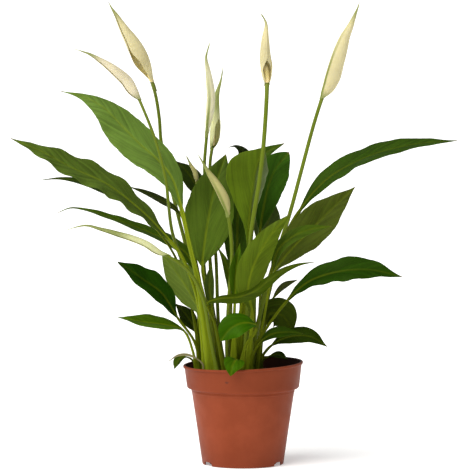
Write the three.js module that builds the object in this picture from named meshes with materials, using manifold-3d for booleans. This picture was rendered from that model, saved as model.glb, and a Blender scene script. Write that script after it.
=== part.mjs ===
// A peace lily in a plastic nursery pot, in millimetres, +Z up.
// The origin is the centre of the pot's base, on the surface that it stands on, and the front is -Y.
// Every leaf (its blade with its petiole), flower stalk, spathe and spadix is a piece of its own.
// Plant points are measured from the middle of the soil's surface, so a taller or shorter pot carries them.
import * as THREE from 'three';
import { mergeVertices } from 'three/addons/utils/BufferGeometryUtils.js';
import Module from 'manifold-3d';

const wasm = await Module();
wasm.setup();

// Pot: outer radii and heights
const BASE_RADIUS = 41;        // outside of the body at the bottom
const BODY_TOP_RADIUS = 52;    // outside of the body under the step
const BODY_HEIGHT = 75.8;      // where the step out to the collar begins
const STEP_HEIGHT = 2.6;       // height of the step
const COLLAR_RADIUS = 56.6;    // outside of the collar just above the step
const COLLAR_TOP_RADIUS = 59.1;
const POT_HEIGHT = 102;
const LIP_REACH = 1.3;         // how far the lip stands out past the collar
const LIP_HEIGHT = 2.6;
const POT_WALL = 1.2;
const POT_SIDES = 48;

// Pot: underside
const CHANNEL_WIDTH = 6;       // raised ring inside the foot
const CHANNEL_HEIGHT = 4;
const CHANNEL_SLOPE = 1;       // how far the channel's inner wall leans over its height
const WALL_RISE = 0.5;         // the body's radius grows this much beside the channel
const NOTCH_WIDTH = 14;
const NOTCH_ANGLES = [90, 210, 330];   // degrees round from +X
const DRAIN_HOLE_RADIUS = 2;
const DRAIN_HOLES = 8;
const DRAIN_SIDES = 10;

// Soil and fits
const SOIL_BELOW_RIM = 12.3;
const SOIL_FIT = 0.4;          // soil to pot wall
const PLANT_GAP = 0.35;        // soil to the foot of each stem
const SPADIX_GAP = 0.4;        // stalk to spadix, along the stalk
const SPATHE_GAP = 0.85;       // stalk to the inside of its spathe

// Plant sections
const SAME_POINT = 1e-4;       // corners this close are one corner
const SPAN_DIVISIONS = 40;     // measured steps between two points of a route
const LEAF_SIDES = 8;          // points round a leaf's or a petiole's section
const STALK_SIDES = 8;
const NEAR_TIP = 0.999;        // the furthest share of a route that gives a direction
const SPATHE_SIDES = 12;
const BLADE_HALF = 0.5;        // half of a blade's thickness beside the midrib
const TIP_HALF = 0.45;         // half of the midrib's thickness at the tip
const SPATHE_HALF = 0.45;
const BLADE_STEPS = 9;
const RIB_TAPER = 0.7;         // below 1, a midrib thins quickly above the neck
const RIB_SPREAD = 3;          // a blade is flat where its half width is this many neck radii
const RIB_REACH = 0.1;         // share of the half width that the midrib takes
const FEWEST_STEPS = 3;        // of a short petiole
const PETIOLE_STEP = 30;       // length of one petiole or stalk step
const SPATHE_STEPS = 9;
const SPATHE_CROWDING = 1.4;   // above 1, a spathe's steps crowd towards its foot
const SEAT_START = 1.5;        // a spathe keeps clear of its stalk up to a share of (1.5 - 1) / 2
const SEAT_FALL = 2;
const SPATHE_TIP_ROLL = 1.2;   // smallest radius that a spathe rolls to
const SPATHE_FOOT_HALF = 1.5;  // half width of a spathe where it starts on the stalk
// Shares of a spadix's length and of its radius
const SPADIX_PROFILE = [[0, 0.55], [0.12, 0.9], [0.35, 1], [0.65, 0.92], [0.88, 0.62]];
const SPATHE_LEAN = 0.7;       // share of its widening that a spathe takes on the side of its opening

const LIP_RADIUS = COLLAR_TOP_RADIUS + LIP_REACH;
const LIP_BOTTOM = POT_HEIGHT - LIP_HEIGHT;
const SOIL_TOP = POT_HEIGHT - SOIL_BELOW_RIM;
const RIM_OVER_PLANT = SOIL_BELOW_RIM - PLANT_GAP;   // the rim above the level that the stems start from
const UP = new THREE.Vector3(0, 0, 1);

const finishes = {
  pot: { color: 0x9c4a2e, roughness: 0.5, metalness: 0 },
  soil: { color: 0x1d1713, roughness: 0.95, metalness: 0 },
  leaf: { color: 0x2f5a17, roughness: 0.45, metalness: 0 },
  stalk: { color: 0x6f8f2c, roughness: 0.5, metalness: 0 },
  spathe: { color: 0xe4dcb4, roughness: 0.6, metalness: 0 },
  spadix: { color: 0xcdbb62, roughness: 0.8, metalness: 0 },
};

// Leaves. route: the petiole and then the midrib, from the soil to the tip. Its first point is the foot, in
// shares of the soil's radius along X and Y. A leaf that hangs over the rim has points of its own kind:
// degrees round from +X, distance outside the lip and height above the rim.
// neck: the route point where the blade starts; widest: how far along the blade it is widest; ends: the
// powers of its outline at the neck and the tip; faces: where the upper side looks there; fold: degrees
// that each half is raised; petiole: its radii at foot and neck.
const leaves = [
  { name: 'upper_left', width: 41, widest: 0.5, fold: -10, petiole: [3.3, 2], neck: 4,
    ends: [1, 2], faces: [[0.15, -0.85, 0.5], [0.1, -0.8, 0.6]],
    route: [[-0.551, -0.231], [-36.3, -13.4, 47], [-44.3, -15.9, 92.8], [-54.3, -17.5, 135.5],
      [-62.4, -14.6, 171.5], [-71.5, -6, 200.1], [-85.6, 2.1, 217.6], [-102.9, 10.5, 232],
      [-123.2, 21, 251.5], [-140.5, 29.4, 268], [-161, 39.9, 278.4], [-185.6, 50.4, 283.8]] },
  { name: 'left_long', width: 31, widest: 0.53, fold: 12, petiole: [2.4, 1.7], neck: 5,
    ends: [1, 1.4], faces: [[0.1, -0.6, 0.8], [0, -0.75, 0.65]],
    route: [[-0.64, -0.124], [-39.3, -7, 41.2], [-45.4, -7.4, 76.7], [-53.4, -8.3, 102.2],
      [-64.4, -12.3, 125.8], [-75.5, -16.2, 139.4], [-95.5, -21.2, 162.1], [-135.4, -31.5, 195.2],
      [-171.2, -39.5, 213], [-201, -44.1, 229.4], [-232.9, -46.2, 243.7]] },
  { name: 'left_hidden', width: 11, widest: 0.5, fold: 10, petiole: [1.5, 1.1], neck: 4,
    ends: [1, 1.6], faces: [[0, -0.5, 0.85], [0, -0.5, 0.85]],
    route: [[-0.782, 0.16], [-47.5, 12.4, 44.1], [-62.7, 18.5, 104.5], [-78.9, 21, 134.7],
      [-98.1, 19.3, 156.2], [-126.2, 13.2, 178.1], [-164.4, 8, 194.8], [-184.6, 6, 198.5],
      [-203.7, 4, 197.2]] },
  { name: 'left_dark', width: 17, widest: 0.3, fold: 12, petiole: [1.8, 1.3], neck: 2,
    ends: [1, 1.5], faces: [[0, -0.45, 0.85], [0, -0.45, 0.85]],
    route: [[-0.747, 0.267], [-44.5, 15, 38.7], [-47.6, 28.9, 96.3], [-56.8, 37.9, 117.8],
      [-74.1, 41.6, 130.7], [-94.4, 41.5, 139.9], [-119.7, 37.9, 150.4], [-144.9, 33.9, 160],
      [-163, 29, 165.5], [-175, 23.7, 167], [-188.1, 21.5, 162.1]] },
  { name: 'left_thin', width: 14, widest: 0.5, fold: 10, petiole: [1.6, 1.1], neck: 3,
    ends: [1, 1.6], faces: [[0, -0.35, 0.95], [0, -0.35, 0.95]],
    route: [[-0.64, 0.249], [-40.5, 18.4, 74], [-51.6, 28.5, 128.9], [-63.8, 35.7, 159.8],
      [-81.1, 40.9, 171.6], [-99.4, 40.3, 180.8], [-116.6, 39.3, 188]] },
  { name: 'back_left', width: 22, widest: 0.45, fold: 10, petiole: [1.7, 1.2], neck: 3,
    ends: [1, 1.6], faces: [[0.3, -0.8, 0.5], [0.3, -0.8, 0.5]],
    route: [[-0.356, 0.462], [-31.4, 34.3, 72.3], [-35.5, 48.7, 142.3], [-39.6, 52.5, 172.5],
      [-49.8, 53.7, 190.8], [-59.9, 56, 203.9], [-70.1, 56.7, 213]] },
  { name: 'left_underside', width: 33, widest: 0.5, fold: 8, petiole: [1.9, 1.4], neck: 2,
    ends: [1, 1.1], faces: [[0.2, 0.95, 0.2], [0.2, 0.9, 0.3]],
    route: [[-0.604, 0], [-37.4, 0, 30.2], [-42.4, 1.1, 60.6], [-53.5, 2.5, 82.8], [-67.6, 2.8, 104.1],
      [-81.7, 1.5, 122.4]] },
  { name: 'left_low', width: 29, widest: 0.48, fold: 14, petiole: [1.7, 1.2], neck: 2,
    ends: [1, 1.2], faces: [[0.4, -0.7, 0.6], [0.3, -0.75, 0.6]],
    route: [[-0.747, -0.107], [-48.4, -8, 33.2], [-66.5, -13.4, 60.1], [-82.5, -20.3, 85.2],
      [-101.5, -27.2, 100.1], [-126.3, -38.4, 118.9]] },
  { name: 'left_bottom', width: 23, widest: 0.5, fold: 12, petiole: [1.6, 1.1], neck: 2,
    ends: [1, 1.6], faces: [[0, -0.5, 0.87], [0, -0.5, 0.87]],
    route: [[-0.818, 0], [-50.5, -2, 23.3], [-59.5, -4.1, 44.9], [-78.6, -10.6, 51.7],
      [-98.7, -16.2, 54.9], [-126.8, -22.3, 61.1]] },
  { name: 'over_rim_left', width: 9, widest: 0.5, fold: 20, petiole: [1.2, 0.8], neck: 2,
    ends: [1, 1.2], faces: [[0, -0.6, 0.8], [-0.6, -0.6, 0.5]],
    hangs: true, route: [[172.9, -12], [174.3, -9.7, 1.4], [177, -2.7, 5.7], [179.1, 3.3, 3.9],
      [180, 9.3, -6.2]] },
  { name: 'dry_strip', width: 4.5, widest: 0.4, fold: 10, petiole: [0.9, 0.7], neck: 2,
    ends: [1, 1.6], faces: [[0, -0.4, 0.9], [-0.2, -0.4, 0.9]],
    hangs: true, route: [[-159.9, -16.7], [-159.6, -17.4, -0.4], [-164.3, -12.2, 5.5], [-170, -3, 9.2],
      [-173.2, 6.7, 8], [-174.7, 15.6, 1.8]] },
  { name: 'over_rim_front', width: 20, widest: 0.45, fold: 8, petiole: [1.3, 1], neck: 2,
    ends: [1, 1.2], faces: [[0.1, -0.5, 0.87], [0, -0.9, 0.3]],
    hangs: true, route: [[-103.2, -25.5], [-100.6, -21.7, 1.4], [-97.4, -13, 8.5], [-98.1, -2.8, 8.7],
      [-99.5, 6.5, 3.2], [-100.3, 9.7, -5.5]] },
  { name: 'front_bent', width: 27, widest: 0.56, fold: 8, petiole: [1.8, 1.3], neck: 3,
    ends: [1.1, 1.2], faces: [[0, -0.65, 0.75], [0.1, -0.85, 0.5]],
    route: [[-0.036, -0.551], [3, -34, 34.1], [11, -38.2, 45.7], [13, -44.4, 54.5], [4.9, -49.6, 58.1],
      [-5.1, -53.4, 57], [-14.6, -55.6, 51.2], [-22.6, -58, 40.4]] },
  { name: 'front_arched', width: 14, widest: 0.36, fold: -16, petiole: [1.7, 1.3], neck: 3,
    ends: [0.7, 1.5], faces: [[0, -0.6, 0.8], [0, -0.7, 0.7]],
    route: [[-0.302, -0.444], [-24.2, -27, 33.3], [-28.7, -31.4, 57.1], [-35.7, -38.4, 76],
      [-25.1, -43.2, 81.6], [-4.1, -44.9, 83.8], [13, -46.4, 90.5], [26, -47.5, 101.2],
      [40, -46.8, 110.7], [56, -45.1, 116.5], [72.1, -42.7, 118.8]] },
  { name: 'front_right', width: 29, widest: 0.42, fold: -12, petiole: [2.3, 1.6], neck: 2,
    ends: [1, 1.2], faces: [[0.15, -0.9, 0.3], [0.2, -0.85, 0.45]],
    route: [[0.053, -0.356], [7, -20, 32.5], [9, -23, 66.3], [5, -28.4, 89.1], [9, -31.3, 109.6],
      [17, -30.7, 127.7], [30.1, -28.3, 147.6], [47.1, -25, 165.4]] },
  { name: 'right_band', width: 14, widest: 0.55, fold: 10, petiole: [1.5, 1.2], neck: 3,
    ends: [1, 1.4], faces: [[-0.2, -0.8, 0.6], [-0.2, -0.8, 0.6]],
    route: [[0.231, -0.178], [17.1, -10, 31.4], [24.2, -13.5, 77.4], [29.2, -14.1, 105.8],
      [36.2, -18.7, 129.5], [51.3, -16.4, 142.4], [68.4, -11.8, 148.5], [89.6, -6.8, 151.6]] },
  { name: 'right_long', width: 31, widest: 0.42, fold: 10, petiole: [2.2, 1.6], neck: 4,
    ends: [1, 1.2], faces: [[-0.2, -0.55, 0.8], [0, -0.45, 0.9]],
    route: [[0.213, 0.284], [18.3, 18.6, 43.4], [32.5, 28.4, 103.5], [46.7, 33.8, 145.7],
      [58.9, 38.1, 164.7], [71.1, 40.3, 180.8], [88.3, 40.4, 197.1], [108.5, 37.8, 209.5],
      [136.5, 25.2, 222.7], [170.7, 18.9, 231.4], [216.9, 10.5, 236.7]] },
  { name: 'right_broad', width: 40, widest: 0.5, fold: 10, petiole: [2.1, 1.5], neck: 3,
    ends: [1, 1.4], faces: [[-0.1, -0.8, 0.6], [0, -0.8, 0.6]],
    route: [[0.178, 0], [15.2, 1, 45.3], [23.2, 5.3, 90.6], [32.4, 9.9, 105.4], [47.5, 13.9, 124.3],
      [66.8, 16.7, 143.3], [89, 19.9, 165.3], [113.8, 23.5, 188.9]] },
  { name: 'right_low', width: 29, widest: 0.58, fold: 12, petiole: [1.9, 1.3], neck: 4,
    ends: [1.2, 1.4], faces: [[-0.2, -0.75, 0.65], [0, -0.7, 0.7]],
    route: [[0.107, -0.213], [9.1, -13, 24.6], [19.1, -14, 42], [32.2, -15.7, 61.4],
      [44.3, -15.9, 76.6], [56.3, -16.9, 88.9], [69.4, -19, 98.2], [95.4, -23.9, 106.8],
      [125.5, -28.4, 109.3], [160.5, -33, 102.7]] },
  { name: 'right_front', width: 15, widest: 0.4, fold: 12, petiole: [1.6, 1.2], neck: 2,
    ends: [1, 1.6], faces: [[0, -0.6, 0.8], [0, -0.7, 0.7]],
    route: [[0.142, -0.391], [10, -23, 21.7], [18.1, -25, 36.1], [29.1, -28.1, 44.1],
      [44.2, -31.5, 46.5], [60.2, -34.3, 45.8]] },
  { name: 'right_shaded', width: 22, widest: 0.5, fold: 10, petiole: [1.6, 1.2], neck: 2,
    ends: [1, 1.6], faces: [[0, -0.6, 0.8], [0.3, -0.7, 0.6]],
    route: [[0.249, -0.107], [19.2, -7, 18.8], [29.3, -8, 31.1], [47.4, -10, 39.5], [67.5, -13, 39.8],
      [85.6, -17, 30.1]] },
  { name: 'right_dark', width: 32, widest: 0.48, fold: 10, petiole: [1.8, 1.3], neck: 2,
    ends: [1, 1], faces: [[0.1, -0.9, 0.3], [0.2, -0.85, 0.4]],
    route: [[0.302, 0.142], [19.2, 9, 34.3], [22.3, 10.6, 49.4], [27.3, 11.4, 60.5],
      [38.5, 10.2, 59.6], [50.6, 6.2, 43.7]] },
  { name: 'pot_small', width: 9, widest: 0.45, fold: 10, petiole: [1.2, 0.9], neck: 2,
    ends: [1, 1.6], faces: [[0, -0.6, 0.8], [0, -0.6, 0.8]],
    route: [[0.338, 0.071], [20.2, 3, 14.6], [27.3, 1, 18.9], [36.4, -1, 20.2], [45.5, -3, 16.3]] },
  { name: 'back_right_small', width: 7, widest: 0.5, fold: 10, petiole: [1.3, 1], neck: 2,
    ends: [1, 1.6], faces: [[0, -0.7, 0.7], [0, -0.7, 0.7]],
    route: [[0.284, 0.391], [19.3, 26.6, 47.6], [31.5, 33.6, 75.4], [41.7, 35.6, 86.4],
      [55.9, 35.3, 93.1]] },
  { name: 'centre_broad', width: 49, widest: 0.42, fold: 8, petiole: [2.3, 1.6], neck: 3,
    ends: [1, 1.1], faces: [[0, -1, 0.1], [0, -0.95, 0.3]],
    route: [[-0.391, 0.142], [-26.3, 8, 34.4], [-35.4, 9.8, 74.9], [-40.9, 11.6, 109.3],
      [-38.4, 12.9, 135.5], [-34.3, 14.2, 160.8], [-28.3, 19.6, 188.7], [-17.2, 29.4, 221.4]] },
  { name: 'centre_dark', width: 32, widest: 0.45, fold: 8, petiole: [1.8, 1.4], neck: 2,
    ends: [1, 1.2], faces: [[0, -1, 0.1], [0, -1, 0.2]],
    route: [[-0.196, 0.338], [-10.1, 19, 38.2], [-7.1, 26.5, 88.4], [-6, 32.6, 123.4],
      [-5, 39.1, 158.5], [-1, 45.3, 188.5], [10.2, 50.4, 212.5], [25.4, 50.4, 222.7],
      [42.7, 50.4, 230.8]] },
  { name: 'centre_bright', width: 48, widest: 0.74, fold: -34, petiole: [3.2, 1.7], neck: 3,
    ends: [2.6, 1.3], faces: [[0.55, -0.83, 0.05], [0.5, -0.85, 0.15]],
    route: [[-0.089, -0.124], [-4, -7, 36.1], [1, -6.1, 76.6], [5, -3, 121.9], [5.5, 0, 146.9],
      [7.6, 1.8, 172.1], [10.1, 2, 191.3], [13.1, 2.1, 209.5], [21.7, 4.2, 230.5]] },
  { name: 'centre_shaded', width: 33, widest: 0.66, fold: 8, petiole: [1.9, 1.4], neck: 3,
    ends: [1, 0.9], faces: [[0.1, -0.95, 0.2], [0.1, -0.95, 0.3]],
    route: [[0.142, 0.462], [9.2, 28.9, 42.2], [13.3, 46.9, 101.6], [17.4, 60.5, 141.1],
      [21.5, 68.1, 166], [26.6, 73.2, 187.1], [33.8, 77, 203.1], [47, 77.7, 219.4]] },
  { name: 'back_centre', width: 15, widest: 0.5, fold: 10, petiole: [1.5, 1.1], neck: 3,
    ends: [1, 1.6], faces: [[0, -0.9, 0.3], [0, -0.5, -0.8]],
    route: [[-0.089, 0.516], [-3, 32, 41.9], [-1, 47.5, 111.7], [1.1, 60, 171.9], [3.1, 64.5, 204.2],
      [0.1, 63, 221.7], [-7.1, 58.8, 227.1], [-15.6, 54.6, 225.9]] },
  { name: 'back_right', width: 27, widest: 0.5, fold: 10, petiole: [1.5, 1.1], neck: 3,
    ends: [1, 1.1], faces: [[0, -1, 0.2], [0, -1, 0.2]],
    route: [[0.284, 0.604], [16.3, 40.6, 51.1], [19.4, 59.7, 100.3], [21, 70.3, 121.8],
      [24.6, 78.4, 143.5], [32.8, 85.3, 166.5]] },
  { name: 'left_inner', width: 18, widest: 0.5, fold: 10, petiole: [1.5, 1], neck: 2,
    ends: [1, 1.6], faces: [[0.2, -0.7, 0.6], [0.2, -0.7, 0.6]],
    route: [[-0.711, 0.427], [-42.6, 25, 27.3], [-47.6, 26.5, 40.4], [-56.8, 29, 55.5],
      [-68.9, 30.2, 69.6]] },
  { name: 'centre_narrow', width: 10, widest: 0.5, fold: 8, petiole: [1.3, 1], neck: 2,
    ends: [1, 1.6], faces: [[0.3, -0.9, 0.2], [0.3, -0.9, 0.2]],
    route: [[-0.391, -0.071], [-25.2, -4, 30.7], [-31.3, -3.5, 68.2], [-34.3, -2.6, 91.4],
      [-31.3, 0, 114.5]] },
  { name: 'centre_arching', width: 8, widest: 0.5, fold: 10, petiole: [1.5, 1.2], neck: 2,
    ends: [1, 1.6], faces: [[0, -0.95, 0.2], [0, -0.9, 0.4]],
    route: [[-0.249, 0], [-13.1, 0, 30.2], [-12.1, 1.2, 75.8], [-14.1, 2.8, 100], [-18.7, 3, 116.2],
      [-26.2, 3.2, 130.4]] },
  { name: 'centre_young', width: 13, widest: 0.5, fold: 25, petiole: [1.5, 1.1], neck: 2,
    ends: [1, 1.6], faces: [[0, -0.95, 0.2], [0, -0.95, 0.2]],
    route: [[-0.178, -0.267], [-9.1, -15, 31.9], [-8.1, -17.2, 77.8], [-7.1, -18.3, 106.2],
      [-3, -17.5, 135.5]] },
];

// Flowers. route: the stalk and then the middle of the rolled spathe; node: the route point where the
// stalk ends; width: the spathe laid flat; wrap: radians that each half of it goes round; opens: where
// its opening looks; runsDown: length of the spathe's foot along the stalk; spadix: length and radius.
const flowers = [
  { number: 1, radii: [2.1, 1.7], node: 8, width: 38, widest: 0.3, wrap: 2.4,
    ends: [2.4, 1.6], opens: [-0.72, -0.62, -0.3], runsDown: 12, spadix: [20, 2.5],
    route: [[-0.516, 0.302], [-36.5, 21.7, 43], [-53.8, 48.6, 109.6], [-66.2, 67.5, 155.8],
      [-76.5, 85.5, 195.2], [-83.8, 94.5, 230.4], [-85.2, 88.2, 251.4], [-88.6, 79.8, 275.5],
      [-92.6, 71.4, 291.4], [-97.1, 67.2, 307], [-103.1, 65.1, 321.9], [-110.2, 63, 334.3],
      [-118.7, 60.9, 346.1], [-128.8, 59.9, 360.9], [-137.4, 58.8, 374.2]] },
  { number: 2, radii: [2, 1.4], node: 8, width: 31, widest: 0.24, wrap: 2.8,
    ends: [0.85, 2.6], opens: [-0.55, -0.45, -0.7], runsDown: 3, spadix: null,
    route: [[-0.693, 0.124], [-41.4, 8.3, 44.5], [-53.6, 9.3, 90.2], [-65.7, 9.3, 125.7],
      [-71.6, 0, 145.9], [-75.3, -22.5, 179.3], [-77.3, -28, 198.9], [-87.2, -29.4, 238.3],
      [-104.7, -27.3, 282.3], [-110.2, -27.3, 293.4], [-115.2, -27.3, 301.4], [-123.7, -29.4, 309.1],
      [-134.1, -31.5, 316.2], [-145.1, -32.6, 322.3], [-156, -33.6, 327.9], [-171, -35.7, 332]] },
  { number: 3, radii: [1.9, 1.6], node: 6, width: 21, widest: 0.38, wrap: 2.5,
    ends: [1, 1.8], opens: [0.3, 0.9, 0.1], runsDown: 10, spadix: [12, 1.7],
    route: [[-0.444, 0.356], [-29.4, 21.7, 43], [-33.4, 29.7, 113.5], [-37.5, 33.7, 174.2],
      [-39, 35.7, 210.7], [-37.9, 33.6, 227.1], [-35.9, 31.5, 247.6], [-33.9, 29.4, 266],
      [-33, 29.4, 279.2], [-34.4, 29.4, 294.4], [-36.1, 29.4, 308.6], [-37.4, 29.4, 319.2],
      [-32.5, 29.4, 336.9]] },
  { number: 4, radii: [1.9, 1.6], node: 5, width: 24, widest: 0.2, wrap: 2.4,
    ends: [0.6, 1.8], opens: [0.6, -0.75, 0.1], runsDown: 3, spadix: [12, 2.1],
    route: [[-0.32, 0.356], [-24.3, 22.7, 42.9], [-27.3, 32.7, 113.2], [-31.4, 45, 173.2],
      [-33.5, 52.5, 208.3], [-31.1, 54.6, 227.4], [-29.6, 56.7, 241.6], [-28.4, 56.7, 261.9],
      [-26.4, 56.7, 279.2], [-22.3, 56.7, 294.5], [-19.9, 56.7, 309.3]] },
  { number: 5, radii: [2.4, 2.1], node: 6, width: 27, widest: 0.3, wrap: 2,
    ends: [0.8, 1.7], opens: [0.2, -0.95, 0.1], runsDown: 4, spadix: [17, 2.4],
    route: [[0.018, -0.196], [3, -11, 36.6], [6, -14.2, 87.6], [8, -16.4, 142.4], [16.5, -18, 199.1],
      [21, -16.8, 239.3], [24, -16.8, 296.6], [23, -16.8, 309.7], [22, -16.8, 324.8],
      [22.5, -16.8, 339.8], [23, -16.8, 356.9], [17, -16.8, 367.9]] },
  { number: 6, radii: [2.3, 1.8], node: 6, width: 36, widest: 0.28, wrap: 2.4,
    ends: [0.75, 1.5], opens: [0.9, 0.35, -0.1], runsDown: 4, spadix: [19, 2.2],
    route: [[0.142, -0.071], [13.1, -4, 40.8], [23.2, -5.2, 86.6], [47.3, -5.4, 164.6],
      [58.4, -4.1, 206], [71.4, -2.1, 254.3], [80.5, 0, 282.9], [84.3, 0, 292.9], [87.8, 0, 304.5],
      [91.5, 0, 316.6], [95.8, 0, 328.7], [101, 0, 341.8], [108.5, 0, 355.4], [117.8, 0, 377.5]] },
  { number: 7, radii: [2.2, 1.9], node: 5, width: 24, widest: 0.3, wrap: 2.6,
    ends: [1, 1.8], opens: [0.5, 0.85, 0.1], runsDown: 5, spadix: [12, 1.9],
    route: [[-0.267, -0.178], [-16.1, -11, 31.5], [-14.1, -13.5, 77.4], [-11.1, -15, 120],
      [-12.1, -14.8, 143.3], [-15.5, -16.2, 166.6], [-18.8, -16.7, 176.8], [-22.8, -17.3, 185.9],
      [-28.2, -15.9, 195.9], [-33.9, -16.3, 205], [-39.4, -16.8, 214.6], [-45.8, -16.8, 226.2]] },
  { number: 8, radii: [1.3, 1.1], node: 4, width: 12, widest: 0.3, wrap: 2.6,
    ends: [1, 1.8], opens: [0.3, -0.9, 0.1], runsDown: 3, spadix: null,
    route: [[-0.551, 0.427], [-33.4, 24.8, 42.7], [-40.5, 35.6, 123.1], [-45.6, 36.8, 168.9],
      [-46.6, 35.9, 193.4], [-48.6, 37, 202.4], [-52.7, 35.7, 209.7], [-58, 35.7, 220.3]] },
  { number: 9, radii: [2.2, 1.5], node: 5, width: 17, widest: 0.2, wrap: 2.8,
    ends: [1, 1.6], opens: [-0.3, -0.4, -0.85], runsDown: 11, spadix: null,
    route: [[-0.444, -0.32], [-33.2, -19, 42.5], [-40.2, -23.4, 79.5], [-53.3, -26.6, 106.1],
      [-71.3, -28.4, 120.9], [-83.4, -29.1, 127], [-96.4, -30.2, 136.2], [-111.4, -31, 142.3],
      [-126.4, -31.5, 146.4], [-141.5, -32, 150.5], [-158.4, -34.2, 154.7], [-178.5, -33.5, 149.1]] },
];

const vectors = (rows) => rows.map((row) => new THREE.Vector3(...row));
const mix = THREE.MathUtils.lerp;
const radians = THREE.MathUtils.degToRad;

// The outer radius of the soil at its surface
function soilRadius() {
  const stepRadius = COLLAR_RADIUS - POT_WALL - SOIL_FIT;
  const stepTop = BODY_HEIGHT + STEP_HEIGHT + POT_WALL + SOIL_FIT;
  const rise = (SOIL_TOP - stepTop) / (LIP_BOTTOM - stepTop);
  return mix(stepRadius, COLLAR_TOP_RADIUS - POT_WALL - SOIL_FIT, rise);
}

// A route in millimetres from the middle of the soil's surface
function plantRoute({ route, hangs }) {
  const [foot, ...points] = route;
  if (!hangs) {
    return [foot.map((share) => share * soilRadius()).concat(0), ...points];
  }
  const spot = (angle, outside, height) => {
    const radius = LIP_RADIUS + outside;
    return [radius * Math.cos(radians(angle)), radius * Math.sin(radians(angle)), height];
  };
  const rest = points.map(([angle, outside, above]) => spot(angle, outside, RIM_OVER_PLANT + above));
  return [spot(...foot, 0), ...rest];
}

// A smooth line through the points, with the share of its length at each point
function routeCurve(points) {
  const curve = new THREE.CatmullRomCurve3(vectors(points), false, 'centripetal');
  const lengths = curve.getLengths(SPAN_DIVISIONS * (points.length - 1));
  const total = lengths[lengths.length - 1];
  curve.arcLengthDivisions = lengths.length - 1;
  return { curve, total, shareAt: (index) => lengths[SPAN_DIVISIONS * index] / total };
}

// Sideways and outward directions of a section whose opening or upper side looks along face
function sectionFrame(curve, share, face) {
  const along = share === 0 ? UP.clone() : curve.getTangentAt(Math.min(share, NEAR_TIP));
  const side = new THREE.Vector3().crossVectors(face, along).normalize();
  const out = new THREE.Vector3().crossVectors(along, side);
  return { at: curve.getPointAt(share), side, out };
}

const place = (frame, sideways, outward) =>
  frame.at.clone().addScaledVector(frame.side, sideways).addScaledVector(frame.out, outward);

// A closed solid through rings of points that run anticlockwise seen from the last ring.
// It ends in the point tip, or in a flat face where there is none.
function loft(rings, tip = null) {
  const sides = rings[0].length;
  const points = rings.flat();
  const faces = [];
  for (let ring = 0; ring < rings.length - 1; ring += 1) {
    for (let side = 0; side < sides; side += 1) {
      const a = ring * sides + side;
      const b = ring * sides + (side + 1) % sides;
      faces.push(a, b, b + sides, a, b + sides, a + sides);
    }
  }
  for (let side = 1; side < sides - 1; side += 1) {
    faces.push(0, side + 1, side);
  }
  const last = (rings.length - 1) * sides;
  if (tip) {
    points.push(tip);
    for (let side = 0; side < sides; side += 1) {
      faces.push(last + side, last + (side + 1) % sides, points.length - 1);
    }
  } else {
    for (let side = 1; side < sides - 1; side += 1) {
      faces.push(last, last + side, last + side + 1);
    }
  }
  const geometry = new THREE.BufferGeometry().setFromPoints(points);
  geometry.setIndex(faces);
  geometry.computeVertexNormals();
  return geometry;
}

// Angles round a section, starting at its side
const turns = (sides) => Array.from({ length: sides }, (_, index) => (index / sides) * 2 * Math.PI);

// 0 at both ends of a blade and 1 where it is widest; an end with a power over 1 is drawn out
function outline(share, widest, [footPower, tipPower]) {
  const [near, power] = share < widest
    ? [share / widest, footPower]
    : [(1 - share) / (1 - widest), tipPower];
  return near ** power * (1 + power * (1 - near));
}

function leafGeometry(leaf) {
  const { curve, total, shareAt } = routeCurve(plantRoute(leaf));
  const neck = shareAt(leaf.neck);
  const faces = vectors(leaf.faces);
  const lift = Math.tan(radians(leaf.fold));
  const [footRadius, neckRadius] = leaf.petiole;
  const petioleSteps = Math.max(FEWEST_STEPS, Math.round((neck * total) / PETIOLE_STEP));
  const rings = [];
  for (let step = 0; step < petioleSteps; step += 1) {
    const share = (step / petioleSteps) * neck;
    const radius = mix(footRadius, neckRadius, step / petioleSteps);
    const frame = sectionFrame(curve, share, faces[0]);
    rings.push(turns(LEAF_SIDES).map((turn) =>
      place(frame, radius * Math.cos(turn), radius * Math.sin(turn))));
  }
  for (let step = 0; step < BLADE_STEPS; step += 1) {
    const share = step / BLADE_STEPS;
    const face = new THREE.Vector3().lerpVectors(faces[0], faces[1], share);
    const frame = sectionFrame(curve, mix(neck, 1, share), face);
    const halfWidth = (leaf.width / 2) * outline(share, leaf.widest, leaf.ends);
    const rib = mix(neckRadius, TIP_HALF, share ** RIB_TAPER);
    const thin = mix(rib, BLADE_HALF, Math.min(1, halfWidth / (RIB_SPREAD * neckRadius)));
    rings.push(turns(LEAF_SIDES).map((turn) => {
      const across = Math.cos(turn);
      const half = Math.abs(across) < RIB_REACH ? rib : thin;
      const raised = lift * halfWidth * Math.abs(across);
      return place(frame, across * (halfWidth + thin), half * Math.sin(turn) + raised);
    }));
  }
  return loft(rings, curve.getPointAt(1));
}

function stalkGeometry(flower) {
  const { curve, total, shareAt } = routeCurve(plantRoute(flower));
  const end = shareAt(flower.node);
  const steps = Math.round((end * total) / PETIOLE_STEP);
  const face = new THREE.Vector3(...flower.opens);
  const rings = [];
  for (let step = 0; step <= steps; step += 1) {
    const radius = mix(flower.radii[0], flower.radii[1], step / steps);
    const frame = sectionFrame(curve, (step / steps) * end, face);
    rings.push(turns(STALK_SIDES).map((turn) =>
      place(frame, radius * Math.cos(turn), radius * Math.sin(turn))));
  }
  return loft(rings);
}

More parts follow.
